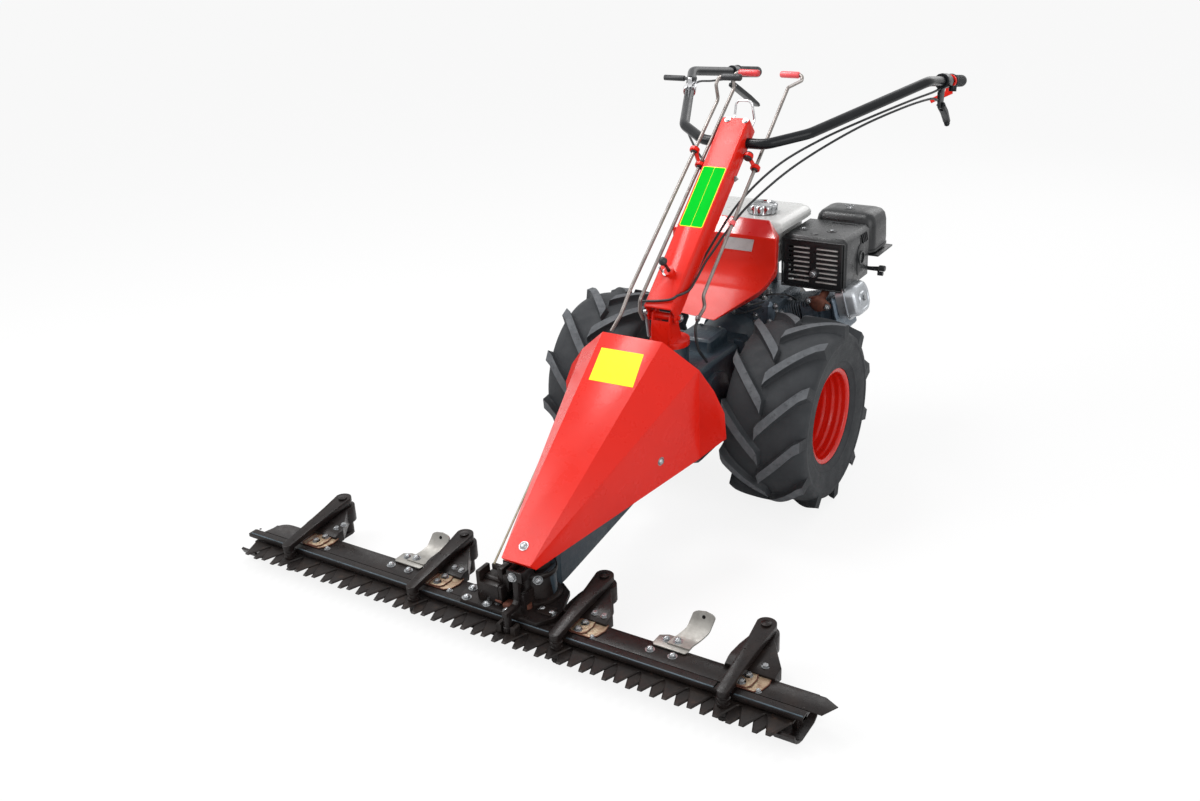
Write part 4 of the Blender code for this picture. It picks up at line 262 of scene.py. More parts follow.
SILVER = finish(
    "silver_paint", (0.42, 0.44, 0.465), (0.34, 0.36, 0.38), 18, rough=(0.26, 0.38), metallic=0.75,
    grain=(700, 0.0002), coat=0.1,
)
# A near-white plate behind the muffler cover's louvres: a silver shield painted pale so that the slots look
# bright, partly its own colour and partly a painted reflection.
SHIELD_WITH_PAINTED_SHINE = finish(
    "shield_pale_and_painted_shine", (0.8, 0.79, 0.77), (0.62, 0.6, 0.58), 40, rough=(0.35, 0.5), grain=(900, 0.0002),
)
OLIVE = finish(
    "olive_zinc", (0.3, 0.275, 0.19), (0.22, 0.2, 0.13), 30, rough=(0.34, 0.5), metallic=0.7,
    grain=(900, 0.0002),
)
FIN = finish(
    "fin_alloy", (0.21, 0.24, 0.27), (0.12, 0.14, 0.165), 40, rough=(0.34, 0.5), metallic=0.7,
    grain=(600, 0.0003),
)
CASE = finish(
    "engine_casting", (0.075, 0.1, 0.128), (0.16, 0.192, 0.224), 22, share=(0.46, 0.72), rough=(0.24, 0.42),
    metallic=0.6, grain=(500, 0.0006), dents=(110, 0.0016),
)
ZINC = finish(
    "zinc_plate", (0.3, 0.29, 0.27), (0.22, 0.21, 0.195), 28, rough=(0.38, 0.55), metallic=0.75,
    grain=(900, 0.0002), stain=((0.2, 0.155, 0.125), 22, 0.6, 0.78),
)
DULL_STEEL = finish(
    "dull_steel", (0.3, 0.28, 0.25), (0.19, 0.17, 0.15), 30, rough=(0.36, 0.55), metallic=0.8,
    grain=(700, 0.0003), stain=((0.13, 0.09, 0.06), 35, 0.6, 0.78),
)
ALLOY = finish(
    "cast_alloy", (0.33, 0.35, 0.37), (0.2, 0.22, 0.25), 30, rough=(0.36, 0.55), metallic=0.8,
    grain=(500, 0.0005), dents=(90, 0.0004),
)
CHROME = finish(
    "chrome", (0.8, 0.8, 0.81), (0.66, 0.66, 0.68), 60, rough=(0.08, 0.18), metallic=1.0,
    grain=(900, 0.00004),
)
TANK = finish(
    "tank_grey", (0.46, 0.465, 0.455), (0.43, 0.435, 0.425), 7, rough=(0.22, 0.32),
    grain=(900, 0.00006), coat=0.3,
)
BROWN = finish(
    "rusty_brown", (0.085, 0.028, 0.018), (0.14, 0.05, 0.03), 40, rough=(0.5, 0.75), metallic=0.2,
    grain=(500, 0.0005), specular=0.3, stain=((0.04, 0.018, 0.013), 30, 0.55, 0.75),
)
COPPER = finish(
    "clamp_plate", (0.3, 0.215, 0.14), (0.15, 0.072, 0.042), 70, rough=(0.34, 0.55), metallic=0.45,
    grain=(600, 0.0004), stain=((0.46, 0.4, 0.27), 60, 0.52, 0.66),
)
YELLOW = finish(
    "blank_yellow", (0.9, 0.78, 0.008), (0.86, 0.72, 0.008), 20, rough=(0.34, 0.44), specular=0.2,
)
GREEN = finish(
    "blank_green", (0.001, 0.46, 0.02), (0.001, 0.41, 0.018), 20, rough=(0.55, 0.7), specular=0.02,
)
PALE = finish("blank_pale", (0.45, 0.45, 0.45), (0.38, 0.38, 0.38), 60, rough=(0.34, 0.46), metallic=0.5)
HANDLE_RED = finish("handle_red", (0.6, 0.03, 0.035), (0.5, 0.022, 0.026), 30, rough=(0.25, 0.36), coat=0.3)
HANDLE_PINK = finish(
    "handle_pink", (0.72, 0.085, 0.095), (0.64, 0.065, 0.075), 30, rough=(0.3, 0.4), coat=0.2
)
# Near-black discs laid on surfaces where holes and openings are: painted shade in place of cut holes.
HOLE_SHADE = finish("hole_painted_shade", (0.004, 0.004, 0.004), (0.007, 0.006, 0.006), 50, rough=(0.7, 0.9), specular=0.1)


# Shapes


def move(x, y, z):
    return Matrix.Translation((x, y, z))


def block(size, at=(0, 0, 0), bevel=0.0, within=Matrix()):
    shape = bmesh.new()
    bmesh.ops.create_cube(shape, size=1, matrix=Matrix.Diagonal((*size, 1)))
    if bevel:
        bmesh.ops.bevel(shape, geom=shape.edges[:], offset=bevel, segments=2, profile=0.5, affect="EDGES")
    bmesh.ops.transform(shape, matrix=within @ move(*at), verts=shape.verts)
    return shape


def lathe(profile, steps=48, within=Matrix()):
    """Turned about Z, from a line of (place along the axis, radius).

    The line is closed unless both of its ends are on the axis.
    """
    shape = bmesh.new()
    rings = []
    for along, radius in profile:
        if radius < 1e-6:
            rings.append([shape.verts.new((0, 0, along))])
            continue
        turns = [2 * math.pi * i / steps for i in range(steps)]
        rings.append([shape.verts.new((radius * math.cos(a), radius * math.sin(a), along)) for a in turns])
    pairs = list(zip(rings, rings[1:]))
    if len(rings[0]) > 1 or len(rings[-1]) > 1:
        pairs.append((rings[-1], rings[0]))
    for one, two in pairs:
        for i in range(steps):
            j = (i + 1) % steps
            corners = [one[i % len(one)], one[j % len(one)], two[j % len(two)], two[i % len(two)]]
            corners = list(dict.fromkeys(corners))
            if len(corners) > 2:
                shape.faces.new(corners)
    bmesh.ops.recalc_face_normals(shape, faces=shape.faces)
    bmesh.ops.transform(shape, matrix=within, verts=shape.verts)
    return shape


def disc(radius, low, high, steps=24, within=Matrix()):
    """A round plate from low to high."""
    return lathe([(low, 0), (low, radius), (high, radius), (high, 0)], steps, within)


def bridge(shape, rings):
    """Joins each ring of points to the next with faces, and returns these."""
    faces = []
    for one, two in zip(rings, rings[1:]):
        count = len(one)
        for i in range(count):
            j = (i + 1) % count
            faces.append(shape.faces.new((one[i], one[j], two[j], two[i])))
    return faces


def skin(shape, rings, capped=True):
    """Joins rings of points into a closed skin, with a cap on both ends unless it is open."""
    bridge(shape, rings)
    if capped:
        shape.faces.new(rings[0][::-1])
        shape.faces.new(rings[-1])
    bmesh.ops.recalc_face_normals(shape, faces=shape.faces)
    return shape


def prism(outline, low, high, bevel=0.0, segments=2, within=Matrix()):
    """A flat outline, drawn up from low to high, with its rims bevelled."""
    shape = bmesh.new()
    rings = [[shape.verts.new((x, y, z)) for x, y in outline] for z in (low, high)]
    caps = [shape.faces.new(ring) for ring in rings]
    bridge(shape, rings)
    bmesh.ops.recalc_face_normals(shape, faces=shape.faces)
    if bevel:
        rims = [edge for cap in caps for edge in cap.edges]
        bmesh.ops.bevel(
            shape, geom=rims, offset=bevel, segments=segments, profile=0.5, affect="EDGES",
            clamp_overlap=True,
        )
    bmesh.ops.transform(shape, matrix=within, verts=shape.verts)
    return shape


def pipe(points, radius, sides=16, closed_ends=True):
    """A round bar along a line of points. The radius is one number, or one for each point."""
    points = [Vector(point) for point in points]
    radii = radius if isinstance(radius, (list, tuple)) else [radius] * len(points)
    shape = bmesh.new()
    ahead = (points[1] - points[0]).normalized()
    across = ahead.orthogonal().normalized()
    rings = []
    for i, point in enumerate(points):
        before = points[max(i - 1, 0)]
        after = points[min(i + 1, len(points) - 1)]
        ahead = (after - before).normalized()
        across = (across - ahead * across.dot(ahead)).normalized()
        other = ahead.cross(across)
        ring = []
        for k in range(sides):
            a = 2 * math.pi * k / sides
            spot = point + across * radii[i] * math.cos(a) + other * radii[i] * math.sin(a)
            ring.append(shape.verts.new(spot))
        rings.append(ring)
    return skin(shape, rings, closed_ends)


def joined(*shapes):
    """All shapes in one."""
    whole = bmesh.new()
    for shape in shapes:
        scratch = bpy.data.meshes.new("scratch")
        shape.to_mesh(scratch)
        shape.free()
        whole.from_mesh(scratch)
        bpy.data.meshes.remove(scratch)
    return whole


def placed(shape, matrix):
    bmesh.ops.transform(shape, matrix=matrix, verts=shape.verts)
    return shape


def piece(name, shape, material, body, stands_for=(), smooth=32, within=Matrix(), extra=()):
    """Makes a shape a piece of the object, which rides on a body and may stand for CAD nodes."""
    mesh = bpy.data.meshes.new(name)
    shape.to_mesh(mesh)
    shape.free()
    mesh.shade_smooth()
    mesh.set_sharp_from_angle(angle=math.radians(smooth))
    for each in (material, *extra):
        mesh.materials.append(each)
    obj = bpy.data.objects.new(name, mesh)
    bpy.context.scene.collection.objects.link(obj)
    obj.matrix_world = MACHINE @ within
    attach(obj, body)
    if stands_for:
        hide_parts(*stands_for)
    return obj


def dressed(node, shape, material, body, smooth=32, within=Matrix(), extra=()):
    """A piece that stands for one CAD node and has its name, with an ending."""
    return piece(f"{node}_dressed", shape, material, body, (node,), smooth, within, extra)


def fixings(name, shapes, body):
    """Bolts, nuts and other bright small parts of one body, as one piece."""
    return piece(name, joined(*shapes), NUT, body)


def rounded(corners, radius, steps=8):
    """The points of a line whose inner corners are bent round a radius."""
    corners = [Vector(corner) for corner in corners]
    line = [corners[0]]
    for before, corner, after in zip(corners, corners[1:], corners[2:]):
        back = (before - corner).normalized()
        ahead = (after - corner).normalized()
        half = back.angle(ahead) / 2
        reach = radius / math.tan(half)
        reach = min(reach, 0.45 * (before - corner).length, 0.45 * (after - corner).length)
        bend = reach * math.tan(half)
        middle = corner + (back + ahead).normalized() * (bend / math.sin(half))
        start = corner + back * reach - middle
        end = corner + ahead * reach - middle
        for step in range(steps + 1):
            line.append(middle + start.slerp(end, step / steps).normalized() * bend)
    return line + [corners[-1]]


def smooth_line(points, spacing):
    """Points along a Catmull-Rom curve through the given ones."""
    points = [Vector(point) for point in points]
    padded = [2 * points[0] - points[1], *points, 2 * points[-1] - points[-2]]
    line = []
    for a, b, c, d in zip(padded, padded[1:], padded[2:], padded[3:]):
        steps = max(1, round((c - b).length / spacing))
        for step in range(steps):
            t = step / steps
            curve = 2 * b + (c - a) * t + (2 * a - 5 * b + 4 * c - d) * t**2
            line.append(0.5 * (curve + (3 * b - 3 * c + d - a) * t**3))
    return line + [points[-1]]


def arc(centre, radius, start, end, steps):
    angles = [math.radians(start + (end - start) * step / steps) for step in range(steps + 1)]
    return [(centre[0] + radius * math.cos(a), centre[1] + radius * math.sin(a)) for a in angles]


def facing(at, ahead):
    """A frame at a point, whose Z axis points ahead."""
    ahead = Vector(ahead).normalized()
    return move(*at) @ ahead.to_track_quat("Z", "Y").to_matrix().to_4x4()


def frame_of(x, y, z, origin):
    """The frame with these three axes and this origin."""
    return Matrix((*zip(x, y, z, origin), (0, 0, 0, 1)))


def around(radius, count, height, first=0.0):
    """Frames on a circle about Z, at a height."""
    angles = [2 * math.pi * number / count + first for number in range(count)]
    return [move(radius * math.cos(a), radius * math.sin(a), height) for a in angles]


def hex_head(radius, height, washer=0.0, turn=0.0, at=Matrix()):
    """A bolt's head or nut with its chamfered rim and a washer, on the ground of a frame."""
    angles = [turn + k * math.pi / 3 for k in range(6)]
    corners = [(radius * math.cos(a), radius * math.sin(a)) for a in angles]
    shapes = [prism(corners, washer, washer + height, bevel=min(radius, height) * 0.14, segments=1)]
    if washer:
        shapes.append(disc(radius * 1.35, 0, washer))
    return placed(joined(*shapes), at)


def dome_head(radius, height, at=Matrix()):
    """A round-headed bolt or rivet, on the ground of a frame."""
    profile = [(0, 0), (0, radius)]
    for step in range(1, 6):
        a = math.pi / 2 * step / 5
        profile.append((height * math.sin(a), radius * math.cos(a) if step < 5 else 0))
    return lathe(profile, 20, at)


def stud(radius, length, at=Matrix()):
    """A threaded end, on the ground of a frame."""
    profile = [(0, 0)]
    turns = max(2, int(length / (radius * 0.5)))
    for k in range(turns):
        low = length * k / turns
        high = length * (k + 0.5) / turns
        profile += [(low, radius), (high, radius * 0.88)]
    profile += [(length, radius * 0.8), (length, 0)]
    return lathe(profile, 14, at)


# Wheels

TYRE_RADIUS = 0.27
TREAD_HALF = 0.118
SHOULDER_RADIUS = 0.2185
LUG_HEIGHT = 0.017
LUG_WIDTH = 0.0325
LUGS_PER_SIDE = 11
LUG_SWEEP = math.radians(27.5)
WHEEL_X = 0.292
DISH_PLACE = -0.072
RIM_RADIUS = 0.138
RIM_HALF = 0.1035


def carcass_radius(across):
    """Radius of the tyre between its lugs. It stays nearly full out to the square shoulders."""
    return TYRE_RADIUS - LUG_HEIGHT - 0.019 * min(abs(across) / TREAD_HALF, 1.0) ** 4


def tyre_carcass():
    crown = [(TREAD_HALF * s / 12, carcass_radius(TREAD_HALF * s / 12)) for s in range(13)]
    side = [
        (0.1203, 0.2295), (0.1222, 0.2235), (0.123, 0.218), (0.1228, 0.215), (0.1212, 0.2125),
        (0.1214, 0.206), (0.1206, 0.193), (0.119, 0.18), (0.1166, 0.168), (0.115, 0.1628),
        (0.1154, 0.1612), (0.1148, 0.1596), (0.1134, 0.1588), (0.1108, 0.152), (0.1078, 0.145),
        (0.1062, 0.1402), (0.1052, 0.1386), (0.099, 0.1384), (0.099, 0.1274), (0.083, 0.1274),
        (0.1, 0.17), (0.1, 0.205), (0.09, 0.225),
    ]
    right = crown + side
    left = [(-across, radius) for across, radius in reversed(right[1:])]
    return lathe(right + [(0.0, 0.238)] + left, 176)


def tyre_lugs(middle_line, phase):
    """Bars with flat tops, from just past the tread's middle line out to each square shoulder."""
    shape = bmesh.new()
    section = [(-0.98, -0.006), (-0.8, 0.0), (-0.7, 0.1), (-0.61, 0.55), (-0.57, 0.94), (-0.545, 1.0)]
    section += [(-sideways, rise) for sideways, rise in reversed(section)]
    tops = []
    for side in (1, -1):
        for number in range(LUGS_PER_SIDE):
            turn = phase + 2 * math.pi * (number + (0.5 if side < 0 else 0)) / LUGS_PER_SIDE
            rings = []
            for step in range(12):
                along = -0.009 + 0.1275 * step / 11
                share = max(along, 0) / 0.1185
                across = middle_line + side * along if step < 11 else side * 0.1185
                base = carcass_radius(across)
                top = TYRE_RADIUS - 0.0075 * share**4
                middle = turn + LUG_SWEEP * along / TREAD_HALF
                width = LUG_WIDTH * (1 - 0.12 * share) / TYRE_RADIUS
                ring = []
                for sideways, rise in section:
                    radius = base + (top - base) * rise if rise > 0 else base + rise
                    angle = middle + sideways * width
                    place = across
                    if step == 11:
                        place = side * (0.1228 - 0.0036 * max(rise, 0))
                        radius = SHOULDER_RADIUS + (top - SHOULDER_RADIUS) * rise if rise > 0 else 0.2165
                    elif step == 0:
                        place = across + side * 0.004 * max(rise, 0)
                    spot = (-radius * math.cos(angle), radius * math.sin(angle), place)
                    ring.append(shape.verts.new(spot))
                rings.append(ring)
            count = len(section)
            tops += bridge(shape, rings)[count // 2 - 1 :: count]
            shape.faces.new(rings[0])
            shape.faces.new(rings[-1])
    bmesh.ops.recalc_face_normals(shape, faces=shape.faces)
    for face in tops:
        face.material_index = 1
    return shape


def tyre_seam(middle_line, phase):
    """The mould's zigzag joint between the lugs' inner ends."""
    points = []
    for number in range(2 * LUGS_PER_SIDE):
        side = 1 if number % 2 == 0 else -1
        start = phase + 2 * math.pi * number / (2 * LUGS_PER_SIDE)
        for ahead, across in ((0.08, 0.0035), (0.16, 0.0055), (0.235, 0.0035)):
            angle = start + ahead
            radius = carcass_radius(across) + 0.0002
            place = middle_line + side * across
            points.append((-radius * math.cos(angle), radius * math.sin(angle), place))
    return pipe(points + points[:1], 0.001, 6, closed_ends=False)


def rim_shape():
    """Drop-centre rim: rolled lips, rounded steps down to the well, and a deep dish."""
    outside = [
        (RIM_HALF, 0.1335), (RIM_HALF + 0.0008, 0.136), (RIM_HALF, RIM_RADIUS),
        (RIM_HALF - 0.004, RIM_RADIUS),
    ]
    seat_side = [(0.099, 0.1268), (0.076, 0.1265), (0.048, 0.115), (-0.07, 0.115), (-0.099, 0.1268)]
    inner_lip = [
        (-0.0995, RIM_RADIUS), (-RIM_HALF, RIM_RADIUS), (-RIM_HALF - 0.0006, 0.135), (-RIM_HALF, 0.124),
    ]
    inner_side = [(-0.096, 0.1228), (-0.09, 0.122), (-0.07, 0.111)]
    stepped = []
    steps = [(0.03, 0.1112, 0.048, 0.1165), (0.056, 0.1165, 0.068, 0.1206), (0.076, 0.1206, 0.088, 0.1238)]
    for low, r_low, high, r_high in steps:
        for k in range(6):
            t = k / 5
            ease = t * t * (3 - 2 * t)
            stepped.append((low + (high - low) * t, r_low + (r_high - r_low) * ease))
    stepped += [(0.0965, 0.124), (0.1, 0.1252), (0.1025, 0.129)]
    return outside + seat_side + inner_lip + inner_side + stepped


def wheel(side, sign):
    body = f"wheel_{side}"
    within = move(sign * WHEEL_X, 0, TYRE_RADIUS) @ ALONG_X
    middle_line = -0.0065 * sign
    phase = math.radians(9.2 if sign > 0 else 18.4)
    tyre = joined(tyre_carcass(), tyre_lugs(middle_line, phase), tyre_seam(middle_line, phase))
    dressed(f"tyre_{side}", tyre, RUBBER, body, 40, within, (LUG_TOP,))
    outward = Matrix.Diagonal((1, 1, sign, 1))
    dish = [
        (0.0, 0.0225), (0.0, 0.06), (0.004, 0.07), (0.014, 0.095), (0.017, 0.1135), (0.022, 0.1135),
        (0.02, 0.095), (0.01, 0.072), (0.006, 0.062), (0.005, 0.0225),
    ]
    parts = [lathe(rim_shape(), 128), lathe([(DISH_PLACE + along, radius) for along, radius in dish], 96)]
    for at in around(0.0905, 8, DISH_PLACE + 0.0185):
        parts.append(lathe([(0, 0), (0, 0.012), (0.002, 0.01), (0.002, 0)], 20, at))
    dressed(f"rim_{side}", placed(joined(*parts), outward), RIM_RED, body, 38, within)
    nuts = []
    for at in around(0.041, 5, DISH_PLACE + 0.005, 0.3):
        nuts += [hex_head(0.0105, 0.009, 0.002, at=at), stud(0.005, 0.018, at)]
    nuts.append(dome_head(0.0215, 0.007, move(0, 0, DISH_PLACE + 0.018)))
    piece(f"wheel_nuts_{side}", placed(joined(*nuts), outward), STEEL, body, (), 32, within)
    stem = pipe([(0.112, 0, 0.036), (0.1085, 0, 0.04), (0.106, 0, 0.052)], [0.004, 0.0035, 0.0028], 12)
    cap = pipe([(0.106, 0, 0.052), (0.105, 0, 0.062)], [0.0036, 0.0034], 12)
    turn = Matrix.Rotation(math.radians(150 if sign > 0 else 60), 4, "Z")
    piece(
        f"valve_{side}", placed(joined(stem, cap), outward @ turn), PLASTIC, body, (), 32,
        within,
    )


wheel("left", -1)
wheel("right", 1)


# Handlebar and controls

BAR_RADIUS = 0.015
BAR_END = (0.369, 1.131, 1.018)
BEND_B = (0.398, 0.692, 1.086)
BEND_A = (0.2, 0.262, 1.0)
BAR_CROSS = (0.098, 0.188, 0.977)
CLUTCH_PIVOT = (-0.386, 0.968, 0.996)
BRAKE_PIVOT = (0.386, 0.872, 0.984)


def tube_frame(side, start, end, share):
    """A frame on the handlebar, with its Z axis along the tube and its X axis level and outwards."""
    start, end = Vector(start), Vector(end)
    start.x *= side
    end.x *= side
    ahead = (end - start).normalized()
    across = ahead.cross(Vector((0, 0, 1))).normalized() * side
    up = ahead.cross(across)
    place = start + (end - start) * share
    return frame_of(across, up, ahead, place)


def clamp_ring(at, length, outer):
    """A ring with bevelled rims round the handlebar's tube."""
    half, inner, bevel = length / 2, BAR_RADIUS - 0.001, 0.0012
    profile = [
        (-half, inner), (-half, outer - bevel), (-half + bevel, outer), (half - bevel, outer),
        (half, outer - bevel), (half, inner),
    ]
    return lathe(profile, 36, at)


def handlebar():
    corners = [BAR_END, BEND_B, BEND_A, BAR_CROSS]
    corners += [(-x, y, z) for x, y, z in reversed(corners)]
    line = rounded(corners, 0.07, 10)
    bar = pipe(line, BAR_RADIUS, 28)
    clutch = tube_frame(-1, BEND_B, BAR_END, 0.62)
    pivot_y, pivot_z = CLUTCH_PIVOT[1:]
    ear = [(pivot_y - 0.01, 1.046), (pivot_y + 0.008, 1.042), *arc((pivot_y, pivot_z), 0.009, 10, -190, 12)]
    lever = tube_frame(-1, BEND_A, BEND_B, 0.62)
    pivot = lever.translation + Vector((0.01, 0, 0.036))
    parts = [
        bar,
        clamp_ring(clutch, 0.034, 0.021),
        prism(ear, -0.003, 0.003, 0.0008, within=move(CLUTCH_PIVOT[0], 0, 0) @ ALONG_X),
    ]
    piece("handlebar_dressed", joined(*parts), SATIN, "steering", ("handlebar_tube",), 34)
    pivot_x = CLUTCH_PIVOT[0]
    bright = [
        pipe([(pivot_x - 0.014, pivot_y, pivot_z), (pivot_x + 0.014, pivot_y, pivot_z)], 0.003, 14),
        clamp_ring(lever, 0.03, 0.0205),
        pipe([pivot - Vector((0, 0.019, 0)), pivot + Vector((0, 0.019, 0))], 0.004, 16),
    ]
    for side in (-1, 1):
        plate = (pivot.x, pivot.y + side * 0.0155, pivot.z - 0.011)
        bolt = facing((pivot.x, pivot.y + side * 0.0175, pivot.z), (0, side, 0))
        bright += [block((0.014, 0.004, 0.036), plate, bevel=0.0008), hex_head(0.006, 0.004, at=bolt)]
    piece("lever_clamp", joined(*bright), CHROME, "steering")


def grips():
    for side_name, side in (("left", -1), ("right", 1)):
        tube_end = tube_frame(side, BEND_B, BAR_END, 1)
        profile = [(0.0045, 0), (0.0045, 0.015), (0.003, 0.018), (0.0005, 0.019), (-0.01, 0.019)]
        place = -0.014
        while place > -0.132:
            profile += [
                (place, 0.019), (place - 0.001, 0.0176), (place - 0.0034, 0.0176), (place - 0.0044, 0.019)
            ]
            place -= 0.0074
        profile += [
            (-0.14, 0.0188), (-0.1425, 0.0215), (-0.144, 0.023), (-0.1485, 0.023), (-0.15, 0.0215),
            (-0.15, 0.0154), (-0.001, 0.0154), (-0.001, 0),
        ]
        dressed(f"grip_{side_name}", lathe(profile, 40), GRIP, "steering", 40, tube_end)


def cables():
    bx, by, bz = BRAKE_PIVOT
    cx, cy, cz = CLUTCH_PIVOT
    loop = [
        (0.058, 0.235, -0.066), (0.054, 0.19, -0.056), (0.052, 0.14, -0.05), (0.05, 0.093, -0.04),
        (0.0485, 0.064, -0.016), (0.0465, 0.046, 0.003), (0.034, 0.03, 0.0065), (0.0, 0.02, 0.0065),
        (-0.034, 0.014, 0.0065), (-0.046, 0.012, 0.006),
    ]
    brake = [
        (bx, by - 0.046, bz + 0.024), (0.384, 0.76, 1.022), (0.352, 0.62, 1.02), (0.284, 0.45, 0.992),
        (0.21, 0.3, 0.944), (0.146, 0.2, 0.89), (0.084, 0.106, 0.818), (0.058, 0.03, 0.765),
    ] + [COLUMN @ Vector(point) for point in loop]
    throttle = [
        (0.3855, 0.849, 1.0405), (0.388, 0.78, 1.04), (0.362, 0.64, 1.036), (0.292, 0.462, 1.01),
        (0.214, 0.316, 0.974), (0.128, 0.214, 0.916), (0.06, 0.116, 0.832), (0.03, 0.02, 0.748),
        (0.018, -0.08, 0.672), (0.016, -0.165, 0.606),
    ]
    clutch = [
        (cx, cy - 0.026, cz + 0.026), (-0.392, 0.82, 1.034), (-0.386, 0.69, 1.046), (-0.336, 0.54, 1.006),
        (-0.262, 0.39, 0.972), (-0.17, 0.27, 0.935), (-0.066, 0.176, 0.878), (-0.016, 0.09, 0.806),
        (-0.004, 0.0, 0.728), (-0.004, -0.08, 0.666), (-0.002, -0.165, 0.602),
    ]
    for name, points in (("brake_cable", brake), ("throttle_cable", throttle), ("clutch_cable", clutch)):
        line = smooth_line(points, 0.012)
        parts = [pipe(line, 0.0035, 12), pipe(line[:4], [0.0042, 0.0046, 0.0046, 0.004], 14)]
        dressed(name, joined(*parts), PLASTIC, "steering", 50)


ROD_LINES = {
    "a": (
        [
            (-0.11, -0.338, 0.562), (-0.092, -0.316, 0.604), (-0.078, -0.285, 0.667),
            (-0.078, 0.246, 1.085), (-0.078, 0.232, 1.13), (-0.074, 0.246, 1.149), (-0.055, 0.246, 1.149),
        ],
        (-0.066, -0.004), PLASTIC, "black_plastic",
    ),
    "b": (
        [
            (-0.064, -0.245, 0.572), (-0.064, -0.262, 0.6), (-0.057, -0.27, 0.637), (-0.057, 0.306, 1.106),
            (-0.057, 0.304, 1.14), (-0.053, 0.316, 1.151), (-0.036, 0.318, 1.151),
        ],
        (-0.046, 0.018), HANDLE_RED, "red_paint",
    ),
    "c": (
        [
            (0.078, -0.192, 0.577), (0.078, -0.15, 0.598), (0.078, -0.16, 0.633), (0.078, 0.388, 1.102),
            (0.078, 0.49, 1.106), (0.074, 0.5, 1.12), (0.056, 0.5, 1.12),
        ],
        (0.004, 0.066), HANDLE_PINK, "red_paint",
    ),
}


def shift_rods():
    for name, (points, grip, material, slot) in ROD_LINES.items():
        body = f"shift_rod_{name}"
        piece(
            f"rod_{name}_dressed", pipe(rounded(points, 0.014, 6), 0.005, 16), ROD, body,
            (body,),
        )
        low, high = grip
        profile = [
            (low, 0), (low, 0.007), (low + 0.002, 0.0092), (low + 0.005, 0.01), (high - 0.005, 0.01),
            (high - 0.002, 0.0092), (high, 0.007), (high, 0),
        ]
        at = move(0, *points[-1][1:]) @ ALONG_X
        piece(f"rod_{name}_grip", lathe(profile, 28, at), material, body)


def cable_guard():
    line = rounded(
        [
            (0.034, 0.222, 1.004), (0.038, 0.246, 1.03), (0.032, 0.24, 1.086), (-0.018, 0.244, 1.086),
            (-0.022, 0.24, 1.04), (-0.022, 0.214, 1.018),
        ],
        0.016,
        8,
    )
    dressed("cable_guard", pipe(line, 0.0035, 16), CHROME, "steering")


handlebar()
grips()
cables()
shift_rods()
cable_guard()


# Cutter bar

BAR_X = -0.078
RAIL_HALF = 0.8275
RAIL_FRONT, RAIL_BACK = -1.014, -0.924
RAIL_TOP = 0.067
SHEET_TOP = 0.0698
POST_Y = -0.815
FINGER_Y = -1.032
PITCH = 0.062
ARM_XS = (-0.729, -0.295, 0.139, 0.573)
ARM_THICKNESS = 0.016
ARM_TOP = 0.1262
DRIVE_Y = -0.9
DRIVE_PLATE_TOP = 0.0826
PLATE_TOP = 0.0722
CLAMP_TOP = 0.0752
SWATH_FOOT_TOP = 0.0748
BLADE_COUNT = 26
UPPER_KNIFE_Z = 0.0445
LOWER_KNIFE_Z = 0.04


def bent(shape, rule):
    """The shape with every point moved by a rule."""
    for vertex in shape.verts:
        vertex.co = rule(vertex.co)
    return shape


def on_top(x, y, z, shape):
    return placed(shape, move(x, y, z))


def strap(path, half_width, thickness, round_length):
    """Flat steel along a path of (x, y, z), its far end rounded across the width."""
    path = [Vector(point) for point in path]
    length = sum((b - a).length for a, b in zip(path, path[1:]))
    shape = bmesh.new()
    rings = []
    done = 0.0
    for i, point in enumerate(path):
        if i:
            done += (point - path[i - 1]).length
        ahead = (path[min(i + 1, len(path) - 1)] - path[max(i - 1, 0)]).normalized()
        across = Vector((1, 0, 0))
        out = ahead.cross(across).normalized()
        left = length - done
        share = 1.0 if left > round_length else math.sqrt(max(0.0, 1 - (1 - left / round_length) ** 2))
        half = max(half_width * share, 0.0008)
        corners = [(-half, -0.5), (-half + 0.0006, -1), (half - 0.0006, -1), (half, -0.5)]
        corners += [(half, 0.5), (half - 0.0006, 1), (-half + 0.0006, 1), (-half, 0.5)]
        if half < 0.002:
            corners = [(a / abs(a) * half if a else 0, b) for a, b in corners]
        rings.append([shape.verts.new(point + across * a + out * b * thickness / 2) for a, b in corners])
    return skin(shape, rings)


def bracket_height(y):
    """Top of a pivot bracket between the rail and its post."""
    places = ((-0.95, 0.0705), (-0.918, 0.086), (-0.88, 0.0925), (-0.84, 0.1005), (-0.79, 0.1014))
    if y <= places[0][0]:
        return places[0][1]
    for (y0, z0), (y1, z1) in zip(places, places[1:]):
        if y <= y1:
            return z0 + (z1 - z0) * (y - y0) / (y1 - y0)
    return places[-1][1]


def pivot_bracket(x):
    """Cast foot that carries one upper arm's post behind the rail, with the pin through both arms."""
    outline = [(x - 0.046, -0.934), (x + 0.076, -0.934), (x + 0.078, -0.904), (x + 0.046, -0.858)]
    outline += arc((x, POST_Y), 0.031, -28, 208, 14) + [(x - 0.04, -0.872), (x - 0.046, -0.904)]
    foot = prism(outline, 0.0555, 0.1, 0.0016)
    for y in (-0.918, -0.88):
        geom = foot.verts[:] + foot.edges[:] + foot.faces[:]
        bmesh.ops.bisect_plane(foot, geom=geom, plane_co=(0, y, 0), plane_no=(0, 1, 0))
    bent(foot, lambda p: Vector((p.x, p.y, bracket_height(p.y) - (0.1 - p.z) if p.z > 0.08 else p.z)))
    at = move(x, POST_Y, 0)
    pins = ((0.02, 0.0245, 0.059, 28), (0.009, 0.012, 0.1268, 24), (0.014, 0.0105, 0.0135, 24))
    return joined(foot, *(disc(*pin, at) for pin in pins))


